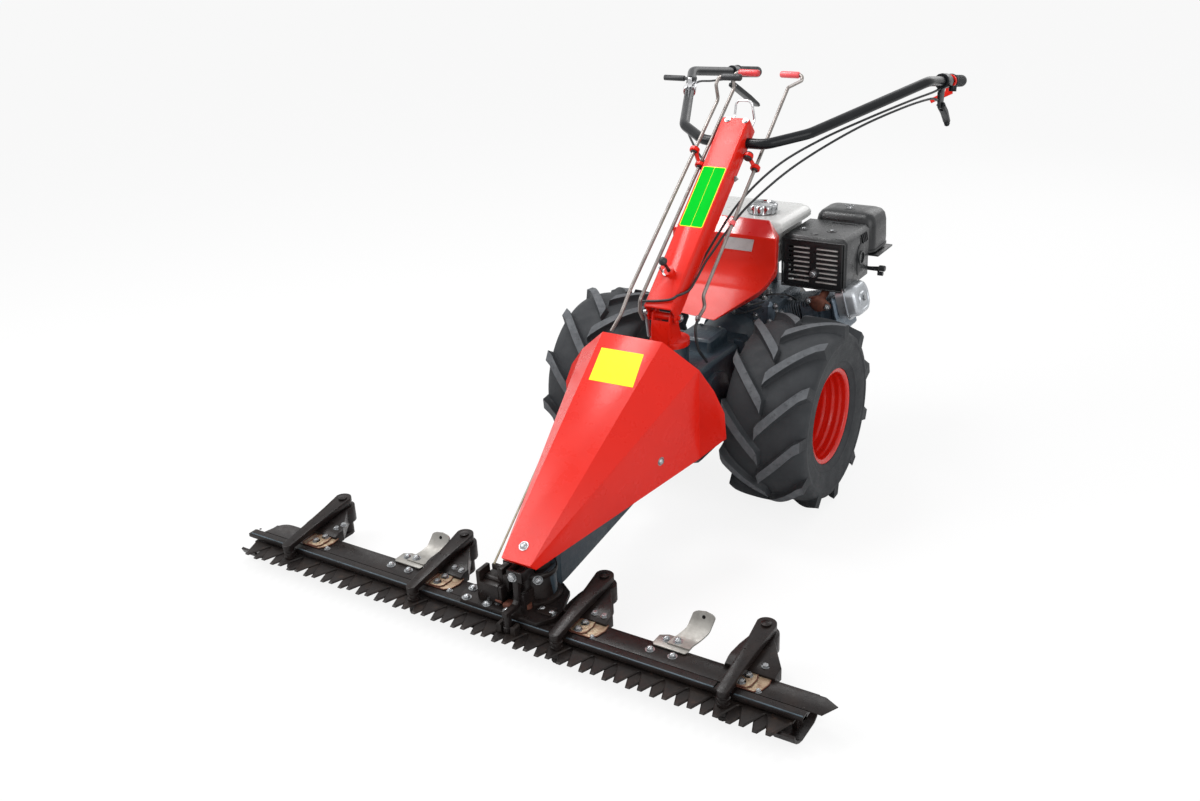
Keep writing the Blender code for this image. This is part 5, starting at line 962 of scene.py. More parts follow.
def rail_stretches():
    """The stretches of the rail's front between the arms, from x to x."""
    stops = [BAR_X - RAIL_HALF + 0.01]
    for x in ARM_XS:
        stops += [x - 0.033, x + 0.015]
    stops.append(BAR_X + RAIL_HALF)
    return zip(stops[::2], stops[1::2])


def rail_strip():
    """Raised lip along the rail's front, cut away where the arms pass, with a row of small rivets."""
    profile = [
        (-1.0145, 0.056), (-1.015, 0.064), (-1.0138, 0.0682), (-1.011, 0.0704), (-1.006, 0.0708),
        (-0.9925, 0.0706), (-0.9918, 0.07), (-0.9916, 0.066), (-0.995, 0.056),
    ]
    shapes = []
    for low, high in rail_stretches():
        shapes.append(prism(profile, low, high, 0.0008, 1, ALONG_X))
        count = max(1, round((high - low - 0.024) / 0.031))
        for k in range(count + 1):
            x = low + 0.012 + (high - low - 0.024) * k / count
            shapes.append(on_top(x, -1.002, 0.0704, dome_head(0.0026, 0.0011)))
    low_profile = [(y, min(z, 0.0676)) for y, z in profile]
    for x in ARM_XS:
        shapes.append(prism(low_profile, x - 0.034, x + 0.016, 0.0, 1, ALONG_X))
    return shapes


def skid(x):
    sole = [
        (-1.052, 0.038), (-1.046, 0.025), (-1.036, 0.013), (-1.022, 0.005), (-1.004, 0.0), (-0.94, 0.0),
        (-0.926, 0.006), (-0.914, 0.02), (-0.92, 0.026), (-0.93, 0.012), (-0.944, 0.006), (-1.002, 0.006),
        (-1.018, 0.011), (-1.031, 0.019), (-1.04, 0.029), (-1.046, 0.041),
    ]
    return joined(
        prism(sole, x - 0.026, x + 0.026, 0.0012, 2, ALONG_X),
        block((0.012, 0.056, 0.05), (x, -0.959, 0.031), 0.001),
    )


def cutter_bar():
    rail = [(-0.9055, RAIL_FRONT), (0.7495, RAIL_FRONT), (0.7495, RAIL_BACK), (-0.822, RAIL_BACK)]
    rail += arc((-0.83, -0.96), 0.035, 95, 175, 8) + [(-0.872, -0.988), (-0.9055, -0.988)]
    sheet = [(0.7805, -0.9895), (0.8005, -0.948), (0.7665, -0.93), (-0.822, -0.93)]
    sheet += arc((-0.828, -0.961), 0.031, 97, 175, 8) + [(-0.866, -0.9895)]
    dressed("stubble_plate", prism(sheet, 0.0674, SHEET_TOP, 0.0006), BLACK, "mower")
    edges = []
    # A thin bead along the front lip of each stretch of the rail, in the blue-grey of a painted highlight.
    for low, high in rail_stretches():
        edges.append(pipe([(low + 0.001, -1.0122, 0.069), (high - 0.001, -1.0122, 0.069)], 0.0017, 10))
    piece("rail_edge_highlight", joined(*edges), EDGE_HIGHLIGHT, "mower")
    shapes = [
        prism(rail, 0.055, RAIL_TOP, 0.0016),
        *rail_strip(),
        *(pivot_bracket(x) for x in ARM_XS),
        skid(BAR_X - RAIL_HALF + 0.03),
        skid(BAR_X + RAIL_HALF - 0.03),
        block((0.16, 0.12, 0.006), (BAR_X, -0.949, 0.003), 0.002),
        block((0.014, 0.06, 0.05), (BAR_X, -0.959, 0.031), 0.001),
    ]
    for x in (BAR_X - RAIL_HALF + 0.016, BAR_X + RAIL_HALF - 0.012):
        shapes.append(on_top(x, -0.985, SHEET_TOP - 0.001, dome_head(0.0035, 0.002)))
    dressed("cutter_bar", joined(*shapes), BLACK, "mower", 32)


CLAMPS = (
    (-0.729, ((-0.691, -0.967), (-0.683, -0.94)), (-0.641, -0.978), ((-0.673, -0.905), (-0.664, -0.886))),
    (-0.295, ((-0.264, -0.972), (-0.261, -0.945)), (-0.216, -0.984), ((-0.254, -0.911), (-0.23, -0.914))),
    (0.139, ((0.166, -0.978), (0.167, -0.949)), (0.208, -0.983), ((0.174, -0.915), (0.2, -0.915))),
    (0.573, ((0.588, -0.974), (0.592, -0.947)), (0.631, -0.981), ((0.617, -0.913),)),
)


def clamps():
    """Brown hold-down plates beside the arms, their studs and nuts, and the brackets' nuts."""
    plates, rims, bright = [], [], []
    for x, studs, small, nuts in CLAMPS:
        across = x + (0.084 if x < 0.5 else 0.07)
        low = [
            (x + 0.002, -0.984), (x + 0.008, -0.989), (across - 0.02, -0.989), (across - 0.006, -0.976),
            (across, -0.95), (across - 0.004, -0.926), (x + 0.008, -0.926), (x + 0.002, -0.934),
        ]
        plates.append(prism(low, SHEET_TOP, PLATE_TOP, 0.0008))
        rims.append(pipe([(a, b, 0.0721) for a, b in low + low[:1]], 0.0013, 8, closed_ends=False))
        middle = sum(s[0] for s in studs) / 2
        top = [
            (middle - 0.02, -0.984), (middle - 0.014, -0.989), (middle + 0.014, -0.987),
            (middle + 0.022, -0.978), (middle + 0.024, -0.95), (middle + 0.018, -0.93),
            (middle - 0.012, -0.93), (middle - 0.019, -0.94),
        ]
        plates.append(prism(top, PLATE_TOP, CLAMP_TOP, 0.0014))
        rims.append(pipe([(a, b, 0.075) for a, b in top + top[:1]], 0.0014, 8, closed_ends=False))
        plates.append(block((0.012, 0.03, 0.0016), (middle + 0.003, -0.959, 0.0756), 0.0006))
        for k, (sx, sy) in enumerate(studs):
            at = move(sx, sy, CLAMP_TOP)
            bright += [hex_head(0.0078, 0.0062, 0.0012, 0.4 + k, at), stud(0.0042, 0.0086, at)]
        ground = PLATE_TOP if small[0] < across - 0.016 else SHEET_TOP
        bright.append(on_top(*small, ground, hex_head(0.0058, 0.0042, 0.001)))
        bright.append(on_top(*small, 0.0755, dome_head(0.0035, 0.0022)))
        for k, (nx, ny) in enumerate(nuts):
            z = bracket_height(ny) - 0.0012
            bright.append(on_top(nx, ny, z, hex_head(0.007, 0.005, 0.0012, k)))
    piece("hold_down_plates", joined(*plates), COPPER, "mower")
    piece("hold_down_rims", joined(*rims), BROWN, "mower")
    fixings("hold_down_nuts", bright, "mower")


def upper_arm(number, x):
    """Flat-topped arm, broad over its post and narrow at the bushed nose above the knife."""
    outline = [
        *arc((x, POST_Y), 0.0245, 8, 172, 14), (x - 0.019, -0.872), (x - 0.0165, -0.93),
        (x - 0.0148, -0.99), *arc((x, FINGER_Y - 0.003), 0.0142, 180, 360, 12), (x + 0.0148, -0.99),
        (x + 0.0165, -0.93), (x + 0.019, -0.872),
    ]
    rise = 0.036 / 0.235

    def lifted(p):
        share = (p.y + 1.05) * rise
        low = p.z < 0.5 * ARM_THICKNESS
        z = 0.0742 + p.z + share
        if low:
            z = max(z, 0.1022) if p.y > -0.845 else z - 0.004 * min(1.0, max(0.0, (p.y + 1.0) / 0.12))
        return Vector((p.x, p.y, min(z, ARM_TOP)))

    bar = bent(prism(outline, 0, ARM_THICKNESS, 0.0018), lifted)
    at = move(x, FINGER_Y, 0)
    bush = [
        (0.0488, 0.0), (0.0488, 0.0125), (0.05, 0.015), (0.056, 0.015), (0.057, 0.0128), (0.062, 0.0128),
        (0.0632, 0.0155), (0.069, 0.0155), (0.07, 0.0135), (0.076, 0.0135), (0.08, 0.0135), (0.08, 0.0),
    ]
    at_post = move(x, POST_Y, 0)
    collar = [(0.1022, 0.0096), (0.1022, 0.0225), (0.106, 0.0225), (0.106, 0.0096)]
    parts = [bar, lathe(bush, 28, at), lathe(collar, 28, at_post)]
    for side in (-1, 1):
        parts.append(on_top(x + side * 0.0102, -0.905, 0.1116, dome_head(0.0022, 0.0012)))
    dressed(f"upper_arm_{number}", joined(*parts), BLACK, f"upper_arm_{number}", 30)
    washer = [(ARM_TOP, 0), (ARM_TOP, 0.0125), (0.1272, 0.0125), (0.1278, 0.0115), (0.1278, 0)]
    head = joined(lathe(washer, 24, at_post), on_top(x, POST_Y, 0.1278, dome_head(0.007, 0.0012)))
    piece(f"upper_pin_head_{number}", head, BLACK, "mower")


def knife(count, z):
    """Pointed blades with blunt tips, riveted side by side on one back strip."""
    half = (count - 1) / 2
    reach = (half + 0.5) * PITCH - 0.001
    shapes = [block((2 * reach, 0.016, 0.0036), (BAR_X, -1.0085, z + 0.0019), 0.0004)]
    for number in range(count):
        x = BAR_X + (number - half) * PITCH
        outline = [
            (x - 0.0306, -1.0003), (x - 0.0306, -1.014), (x - 0.0262, -1.02), (x - 0.0062, -1.074),
            (x - 0.0056, -1.0752), (x + 0.0056, -1.0752), (x + 0.0062, -1.074), (x + 0.0262, -1.02),
            (x + 0.0306, -1.014), (x + 0.0306, -1.0003),
        ]
        blade = bmesh.new()
        low = [blade.verts.new((a, b, z)) for a, b in outline]
        middle = [blade.verts.new((a, b, z + 0.0016)) for a, b in outline]
        inner = []
        for a, b in outline:
            inset = 0.003 if b < -1.019 else 0.0004
            ahead = min(1.0, max(0.0, (-1.02 - b) / 0.05))
            shift = (inset if a > x else -inset) * (0.9 if abs(a - x) > 0.006 else 0.45)
            inner.append(blade.verts.new((a - shift, b + 0.004 * ahead, z + 0.004)))
        blade.faces.new(inner)
        blade.faces.new(low[::-1])
        bridge(blade, [low, middle, inner])
        bmesh.ops.recalc_face_normals(blade, faces=blade.faces)
        shapes.append(blade)
    return shapes


def knives():
    upper = knife(BLADE_COUNT, UPPER_KNIFE_Z)
    for side in (-1, 1):
        lug = [
            (0.0135, 0.048), (0.0135, 0.066), (0.0165, 0.0715), (0.0235, 0.0725), (0.0272, 0.069),
            (0.0275, 0.048),
        ]
        outline = [(side * a, b) for a, b in lug]
        upper.append(prism(outline, -1.0435, -1.0205, 0.0012, 2, UPRIGHT))
    dressed("upper_knife", joined(*upper), BLADE, "upper_knife", 20)
    lower = knife(BLADE_COUNT - 1, LOWER_KNIFE_Z)
    dressed("lower_knife", joined(*lower), BLADE, "lower_knife", 20)


def swath_bracket(side_name, x):
    """Foot plate bolted on the bar, with a broad curved strap that ends round, and a dark disc of painted
    shade for its one hole.
    """
    foot = [
        (x - 0.08, -0.936), (x - 0.074, -0.943), (x + 0.006, -0.943), (x + 0.01, -0.936),
        (x + 0.01, -0.893), (x - 0.06, -0.893), (x - 0.08, -0.904),
    ]
    ground = prism(foot, 0.0712, SWATH_FOOT_TOP, 0.0008)
    path = smooth_line(
        [
            (x - 0.018, -0.928, 0.0765), (x - 0.016, -0.908, 0.0765), (x - 0.01, -0.888, 0.0785),
            (x + 0.0, -0.866, 0.089), (x + 0.003, -0.853, 0.103), (x + 0.006, -0.846, 0.116),
            (x + 0.009, -0.841, 0.129),
        ],
        0.003,
    )
    bracket = strap(path, 0.029, 0.004, 0.013)
    dressed(f"swath_bracket_{side_name}", joined(ground, bracket), ZINC, "mower", 32)
    ahead = (path[-4] - path[-8]).normalized()
    out = ahead.cross(Vector((1, 0, 0))).normalized()
    # Both faces of the strap's end get a dark disc of painted shade where its hole is; the hole itself is
    # not cut.
    hole = []
    for side in (1, -1):
        at = Vector((x + 0.007, path[-6].y, path[-6].z)) + out * side * 0.00205
        hole.append(disc(0.0045, 0, 0.0002, 20, facing(at, out * side)))
    piece(f"swath_hole_shade_{side_name}", joined(*hole), HOLE_SHADE, "mower")
    nuts = []
    for k, (dx, dy) in enumerate(((-0.074, -0.96), (-0.016, -0.959), (-0.056, -0.914), (-0.027, -0.912))):
        z = (SHEET_TOP, SHEET_TOP, SWATH_FOOT_TOP, 0.0784)[k]
        nuts.append(on_top(x + dx, dy, z, hex_head(0.0086, 0.0048, 0.0012, 0.3 * k)))
        nuts.append(on_top(x + dx, dy, z + 0.0055, dome_head(0.007, 0.0048)))
    fixings(f"swath_nuts_{side_name}", nuts, "mower")


def drive_lever():
    boss = arc((0, DRIVE_Y), 0.034, 0, 359, 30)
    web = [
        (-0.905, 0.1656), (-0.905, 0.184), (-0.978, 0.184), (-0.9905, 0.178), (-0.9925, 0.113),
        (-1.0, 0.106), (-1.0435, 0.105), (-1.0435, 0.0945), (-0.992, 0.0945), (-0.984, 0.101),
        (-0.98, 0.112), (-0.978, 0.15), (-0.95, 0.1656),
    ]
    finger = [
        (0.049, 0), (0.049, 0.0095), (0.051, 0.0118), (0.064, 0.0118), (0.065, 0.01), (0.1, 0.01), (0.1, 0),
    ]
    shapes = [
        prism(boss, 0.1656, 0.1812, 0.0022),
        prism(web, -0.008, 0.008, 0.0014, 2, ALONG_X),
        disc(0.012, 0.1225, 0.17, 28, move(0, DRIVE_Y, 0)),
        lathe(finger, 28, move(0, FINGER_Y, 0)),
        dome_head(0.012, 0.003, move(0, DRIVE_Y, 0.1812)),
        block((0.006, 0.056, 0.028), (-0.019, -0.964, 0.179), 0.0012),
        block((0.006, 0.056, 0.028), (0.019, -0.964, 0.179), 0.0012),
        block((0.044, 0.007, 0.028), (0.0, -0.99, 0.179), 0.0016),
        block((0.044, 0.008, 0.02), (0.0, -0.939, 0.17), 0.0014),
    ]
    dressed("knife_drive_lever", joined(*shapes), BLACK, "knife_drive_lever", 30)
    at = facing((-0.004, -0.9935, 0.178), (0, -1, 0))
    bolt = [
        disc(0.012, 0, 0.0016, 24, at),
        hex_head(0.01, 0.0066, at=at @ move(0, 0, 0.0016)),
        dome_head(0.0058, 0.0018, at @ move(0, 0, 0.0082)),
    ]
    fixings("drive_lever_bolt", bolt, "knife_drive_lever")


def drive_fittings():
    """Bolts, the castings round the knife drive on the bar's middle, and a few rusty parts."""
    bright = []
    places = (
        (-0.157, -0.961), (-0.146, -1.002), (-0.084, -1.002), (-0.022, -1.003), (0.051, -0.958),
        (0.08, -0.962),
    )
    for k, (x, y) in enumerate(places):
        bright.append(on_top(x, y, DRIVE_PLATE_TOP, hex_head(0.0092, 0.0044, 0.0012, 0.5 * k)))
        bright.append(on_top(x, y, DRIVE_PLATE_TOP + 0.005, dome_head(0.0074, 0.0042)))
    bright.append(on_top(-0.062, -0.986, DRIVE_PLATE_TOP, hex_head(0.0062, 0.005, 0.001)))
    x, y = 0.029, -0.9385
    at = facing((x, y, 0.15), (x, y - DRIVE_Y, 0))
    bright += [
        disc(0.0125, -0.006, 0.003, 24, at),
        hex_head(0.0105, 0.0072, at=at @ move(0, 0, 0.003)),
        dome_head(0.006, 0.002, at @ move(0, 0, 0.0102)),
    ]
    fixings("drive_bolts", bright, "mower")
    low_ring = [(0.084, 0.0462), (0.084, 0.06), (0.09, 0.0585), (0.094, 0.05), (0.094, 0.0462)]
    high_ring = [
        (0.15, 0.0462), (0.15, 0.05), (0.153, 0.0515), (0.16, 0.0515), (0.163, 0.05), (0.163, 0.0462),
    ]
    dark = [
        block((0.06, 0.04, 0.052), (-0.084, -0.972, 0.108), 0.004),
        block((0.012, 0.046, 0.078), (-0.116, -0.966, 0.121), 0.003),
        block((0.01, 0.034, 0.05), (-0.05, -0.974, 0.108), 0.003),
        block((0.018, 0.02, 0.046), (-0.044, -0.962, 0.136), 0.003),
        lathe(low_ring, 40, move(0, DRIVE_Y, 0)),
        lathe(high_ring, 40, move(0, DRIVE_Y, 0)),
        block((0.04, 0.034, 0.008), (0.066, -0.96, 0.085), 0.002),
        block((0.016, 0.034, 0.05), (-0.06, -0.955, 0.148), 0.003),
        block((0.03, 0.01, 0.016), (-0.078, -0.955, 0.164), 0.003),
    ]
    piece("drive_block", joined(*dark), BLACK, "mower")
    rusty = [
        block((0.024, 0.026, 0.012), (-0.028, -0.984, 0.0885), 0.002),
        lathe([(0.0826, 0), (0.0826, 0.012), (0.094, 0.011), (0.094, 0)], 20, move(0.012, -0.966, 0)),
        pipe([(-0.064, -0.99, 0.094), (-0.046, -0.99, 0.092)], 0.004, 12),
    ]
    piece("drive_rusty_parts", joined(*rusty), BROWN, "mower")


cutter_bar()
clamps()
for number, arm_x in enumerate(ARM_XS, 1):
    upper_arm(number, arm_x)
knives()
swath_bracket("left", -0.356)
swath_bracket("right", 0.424)
drive_lever()
drive_fittings()


# Shroud, column and hood


def loft(sections, within=Matrix()):
    """Closed outlines at several heights, joined in their order and capped at both ends."""
    shape = bmesh.new()
    rings = [[shape.verts.new((x, y, z)) for x, y in outline] for z, outline in sections]
    return placed(skin(shape, rings), within)


def round_box(wide, high, radius, centre=(0, 0), steps=6):
    outline = []
    for k, (sx, sy) in enumerate(((1, 1), (-1, 1), (-1, -1), (1, -1))):
        middle = (centre[0] + sx * (wide / 2 - radius), centre[1] + sy * (high / 2 - radius))
        outline += arc(middle, radius, 90 * k, 90 * k + 90, steps)
    return outline


def plane_frame(origin, right, up):
    """A frame on a sloping sheet: X towards right, Z out of it."""
    origin, right, up = Vector(origin), Vector(right), Vector(up)
    x = (right - origin).normalized()
    z = x.cross(up - origin).normalized()
    y = z.cross(x)
    return frame_of(x, y, z, origin)


def shroud_marks():
    front = plane_frame((-0.041, -0.979, 0.214), (0.041, -0.979, 0.214), (-0.09, -0.41, 0.587))
    corners = [
        (-0.0695, -0.4517, 0.5597), (0.057, -0.4499, 0.5608), (0.0724, -0.5357, 0.5046),
        (-0.0586, -0.5377, 0.5033),
    ]
    flat = [tuple((front.inverted() @ Vector(corner))[:2]) for corner in corners]
    piece(
        "shroud_plate_blank", prism(flat, -0.0005, 0.0026, 0.0002, 1, front), YELLOW, "mower",
    )
    screw = front.inverted() @ Vector((0.0, -0.943, 0.236))
    bright = [
        disc(0.0125, 0, 0.0034, 24, front @ move(screw.x, screw.y, 0)),
        dome_head(0.01, 0.0052, front @ move(screw.x, screw.y, 0.0034)),
    ]
    side = plane_frame((0.041, -0.979, 0.214), (0.165, -0.36, 0.247), (0.177, -0.379, 0.514))
    at = side.inverted() @ Vector((0.1367, -0.5212, 0.3058))
    bright += [
        disc(0.012, 0, 0.0034, 24, side @ move(at.x, at.y, 0)),
        dome_head(0.01, 0.0066, side @ move(at.x, at.y, 0.0034)),
    ]
    fixings("shroud_screws", bright, "mower")
    # Two small dark discs on the shroud's side: painted shade where its holes are.
    holes = []
    for point in ((0.1349, -0.5464, 0.3595), (0.1377, -0.5085, 0.2799)):
        at = side.inverted() @ Vector(point)
        profile = [(0, 0), (0, 0.004), (0.0024, 0.0036), (0.0024, 0)]
        holes.append(lathe(profile, 18, side @ move(at.x, at.y, 0)))
    piece("shroud_hole_shades", joined(*holes), HOLE_SHADE, "mower")
    line = [
        Vector((-0.1355, -0.65, 0.33)), Vector((-0.0995, -0.876, 0.213)), Vector((-0.087, -0.955, 0.172)),
    ]
    ahead = (line[1] - line[0]).normalized()
    strip = plane_frame(line[0], line[1], line[0] + Vector((0.51, 0.25, 0.86)))
    length = (line[2] - line[0]).length
    bar = [(0, -0.008), (length, -0.008), (length, 0.008), (0, 0.008)]
    foot = pipe([line[2] - ahead * 0.006, line[2] + ahead * 0.001, (-0.08, -0.955, 0.169)], 0.0024, 12)
    dressed(
        "shroud_strip", joined(prism(bar, -0.0015, 0.0015, 0.0006, 1, strip), foot), OLIVE, "mower",
    )


def column_marks():
    low, high = 0.264, 0.466
    middle = (low + high) / 2
    shapes = prism(round_box(0.072, high - low, 0.006, (0.0, middle)), -0.0002, 0.0006, 0.0001, 1, COLUMN)
    piece("column_plate_border", shapes, YELLOW, "steering")
    panels = []
    for side in (-1, 1):
        outline = round_box(0.0335, high - low - 0.004, 0.0035, (side * 0.0173, middle))
        panels.append(prism(outline, 0.0003, 0.001, 0.0001, 1, COLUMN))
    piece("column_plate_blank", joined(*panels), GREEN, "steering")
    bright = []
    for side in (1, -1):
        at = COLUMN @ facing((side * 0.0436, 0.469, -0.054), (side, 0, 0))
        bright += [hex_head(0.0062, 0.004, 0.001, at=at), stud(0.003, 0.009, at)]
    for x in (-0.022, 0.034):
        bright.append(hex_head(0.0066, 0.0038, 0.001, at=COLUMN @ facing((x, 0.63, 0.0), (0, 0, 1))))
    fixings("column_bolts", bright, "steering")
    dark = []
    for low_end, high_end, along in (
        ((-0.078, -0.285, 0.667), (-0.078, 0.246, 1.085), 0.51),
        ((-0.055, -0.27, 0.637), (-0.055, 0.306, 1.106), 0.477),
        ((0.078, -0.16, 0.633), (0.078, 0.388, 1.102), 0.527),
    ):
        one, two = (COLUMN.inverted() @ Vector(point) for point in (low_end, high_end))
        at = one + (two - one) * ((along - one.y) / (two.y - one.y))
        sleeve = [
            (-0.0095, 0.0054), (-0.0095, 0.0092), (-0.0075, 0.0104), (-0.0062, 0.008), (0.0062, 0.008),
            (0.0075, 0.0104), (0.0095, 0.0092), (0.0095, 0.0054),
        ]
        dark.append(lathe(sleeve, 24, COLUMN @ facing(at, (0, 1, 0))))
    plug = [
        (-0.01, 0.0), (-0.01, 0.0112), (-0.008, 0.0128), (0.008, 0.0128), (0.01, 0.0112), (0.01, 0.005),
        (0.006, 0.0045), (0.006, 0.0),
    ]
    dark.append(lathe(plug, 28, COLUMN @ facing((0.062, 0.541, -0.043), (0, 1, 0))))
    piece("ring_bushings", joined(*dark), PLASTIC, "steering")
    foot = []
    for side in (-1, 1):
        at = facing((0.0425 if side > 0 else -0.0335, -0.228, 0.585), (side, 0, 0))
        foot += [hex_head(0.009, 0.006, 0.0014, at=at), dome_head(0.005, 0.003, at @ move(0, 0, 0.0072))]
    fixings("foot_bolts", foot, "chassis")
    for name, points, radius, material in (
        ("b", [(-0.055, -0.246, 0.59), (-0.055, -0.239, 0.575), (-0.055, -0.229, 0.52)], 0.0062, ALLOY),
        (
            "c",
            [(0.08, -0.196, 0.576), (0.082, -0.214, 0.556), (0.088, -0.212, 0.5), (0.098, -0.18, 0.45)],
            0.004, PLASTIC,
        ),
    ):
        link = pipe(smooth_line(points, 0.008), radius, 14)
        piece(f"rod_{name}_link", link, material, f"shift_rod_{name}")
        start = Vector(points[0])
        eye = [(-0.004, 0.005), (-0.004, 0.0085), (0.004, 0.0085), (0.004, 0.005)]
        piece(
            f"rod_{name}_eye", lathe(eye, 24, facing(start + Vector((0, 0, 0.004)), (1, 0, 0))), NUT,
            f"shift_rod_{name}",
        )
    collar = lathe(
        [(-0.007, 0.0052), (-0.007, 0.0078), (0.007, 0.0078), (0.007, 0.0052)], 20,
        facing((0.078, 0.0214, 0.789), (0, 0.548, 0.469)),
    )
    piece("rod_c_collar", collar, HANDLE_PINK, "shift_rod_c")


def hood():
    half = [
        (0.168, 0.1185, 0.727), (0.122, 0.172, 0.765), (0.168, 0.1145, 0.604), (0.036, -0.012, 0.506),
        (0.14, 0.2, 0.712), (0.098, 0.234, 0.737), (0.136, 0.2, 0.602), (0.104, 0.138, 0.54),
    ]
    points = [Vector(p) for p in half] + [Vector((-x, y, z)) for x, y, z in half]
    n = len(half)
    points[n + 3] = Vector((-0.078, -0.01, 0.514))
    shape = bmesh.new()
    verts = [shape.verts.new(point) for point in points]
    side = [(0, 2, 6, 4), (1, 0, 4), (1, 4, 5), (2, 3, 7), (2, 7, 6)]
    faces = [(0, 0 + n, 2 + n, 2), (1, 1 + n, 0 + n, 0), (5, 5 + n, 1 + n, 1), (2, 2 + n, 3 + n, 3)]
    faces += side + [tuple(i + n for i in reversed(face)) for face in side]
    for face in faces:
        shape.faces.new([verts[i] for i in face])
    bmesh.ops.recalc_face_normals(shape, faces=shape.faces)
    low_fold = [edge for edge in shape.edges if all(abs(v.co.z - 0.604) < 1e-4 for v in edge.verts)]
    bmesh.ops.bevel(shape, geom=low_fold, offset=0.05, segments=10, profile=0.5, affect="EDGES")
    inner = [edge for edge in shape.edges if len(edge.link_faces) == 2 and edge.calc_face_angle() > 0.3]
    bmesh.ops.bevel(
        shape, geom=inner, offset=0.009, segments=4, profile=0.5, affect="EDGES", clamp_overlap=True,
    )
    bmesh.ops.solidify(shape, geom=shape.faces[:], thickness=0.0016)
    bmesh.ops.recalc_face_normals(shape, faces=shape.faces)
    # The upward faces of the hood's top take the lighter, glossier copy of its paint: a painted highlight.
    for face in shape.faces:
        face.material_index = int(face.normal.z > 0.6 and face.calc_center_median().z > 0.728)
    panel = dressed("engine_hood", shape, HOOD_RED, "chassis", 40, extra=(HOOD_TOP_HIGHLIGHT,))
    flat = panel.modifiers.new("flat_faces", "WEIGHTED_NORMAL")
    flat.weight, flat.keep_sharp = 100, True
    plate = [(0.719, 0.006), (0.719, 0.1), (0.683, 0.092), (0.683, -0.002)]
    piece(
        "hood_plate_blank", prism(plate, 0.115, 0.1164, 0.0002, 1, ALONG_Y), PALE, "chassis",
    )
    rivets = [
        dome_head(0.0018, 0.0008, facing((x, 0.115, z), (0, -1, 0)))
        for x, z in ((0.01, 0.7155), (0.096, 0.7155), (0.006, 0.6865), (0.088, 0.6865))
    ]
    fixings("hood_plate_rivets", rivets, "chassis")


# Engine

CAP_PLACE = (0.02, 0.345, 0)
WING_PLACE = (0.218, 0.557, 0)


def fuel_cap():
    def ringed(radius, depth=0.0):
        """A round outline with nine waves of some depth."""
        outline = []
        for k in range(96):
            a = 2 * math.pi * k / 96
            wave = 0.5 + 0.5 * math.cos(9 * a)
            reach = radius - depth * (1 - wave) ** 2
            outline.append((math.cos(a) * reach, math.sin(a) * reach))
        return outline

    sections = [
        (0.7365, ringed(0.038)), (0.7372, ringed(0.0445, 0.001)), (0.74, ringed(0.047, 0.005)),
        (0.756, ringed(0.047, 0.0055)), (0.761, ringed(0.0455, 0.0045)), (0.764, ringed(0.042, 0.002)),
        (0.7646, ringed(0.039)), (0.764, ringed(0.037)), (0.76, ringed(0.035)), (0.76, ringed(0.01)),
        (0.7608, ringed(0.004)),
    ]
    dressed("fuel_cap", loft(sections, move(*CAP_PLACE)), CAP, "fuel_cap", 36)


def valve_cover():
    within = CYLINDER @ move(0.026, 0, 0.033) @ ALONG_X
    sections = [
        (0.28, round_box(0.112, 0.094, 0.026)), (0.3055, round_box(0.112, 0.094, 0.026)),
        (0.306, round_box(0.124, 0.106, 0.026)), (0.3095, round_box(0.124, 0.106, 0.026)),
        (0.31, round_box(0.114, 0.097, 0.028)), (0.33, round_box(0.11, 0.094, 0.03)),
        (0.3385, round_box(0.103, 0.087, 0.031)), (0.3425, round_box(0.092, 0.076, 0.03)),
        (0.343, round_box(0.08, 0.064, 0.027)), (0.3405, round_box(0.076, 0.06, 0.026)),
        (0.3405, round_box(0.052, 0.038, 0.017)), (0.344, round_box(0.046, 0.032, 0.014)),
        (0.3446, round_box(0.03, 0.02, 0.009)),
    ]
    dressed("valve_cover", loft(sections, within), SILVER, "chassis", 34)
    bolt = CYLINDER @ facing((0.3704, 0.0, 0.033), (1, 0, 0))
    nuts = [hex_head(0.0085, 0.005, 0.0016, at=bolt)]
    for y, z in ((-0.05, 0.052), (0.05, 0.052), (-0.05, -0.032), (0.05, -0.032)):
        at = CYLINDER @ facing((0.3355, y * 0.98, z * 0.96 + 0.023), (1, 0, 0))
        nuts.append(hex_head(0.0052, 0.004, 0.001, at=at))
    fixings("valve_cover_bolts", nuts, "chassis")


def exhaust_flange():
    at = Matrix(((1, 0, 0, 0.24), (0, 0, -1, 0.266), (0, 1, 0, 0.498), (0, 0, 0, 1)))
    turn = Matrix.Rotation(math.radians(-11), 4, "Z")
    outline = arc((0.029, 0), 0.0105, -70, 70, 6) + arc((0, 0), 0.025, 48, 132, 8)
    outline += arc((-0.029, 0), 0.0105, 110, 250, 6) + arc((0, 0), 0.025, 228, 312, 8)
    inset = [(x * 0.9, y * 0.9) for x, y in outline]
    bend = [(0.24, 0.268, 0.5), (0.24, 0.292, 0.508), (0.24, 0.332, 0.522), (0.24, 0.34, 0.556)]
    brown = [
        loft([(-0.005, outline), (0.002, outline), (0.0045, inset)], at @ turn),
        lathe([(0, 0), (0, 0.024), (0.006, 0.0235), (0.011, 0.02), (0.0135, 0.013), (0.0142, 0.0)], 32, at),
        pipe(rounded(bend, 0.014, 5), 0.012, 20),
    ]
    dressed("exhaust_pipe", joined(*brown), BROWN, "chassis", 40)
    nuts = []
    for side in (-1, 1):
        spot = at @ turn @ move(side * 0.0295, 0, 0.004)
        nuts += [hex_head(0.0078, 0.0062, 0.0012, at=spot), stud(0.004, 0.012, spot)]
    fixings("exhaust_nuts", nuts, "chassis")


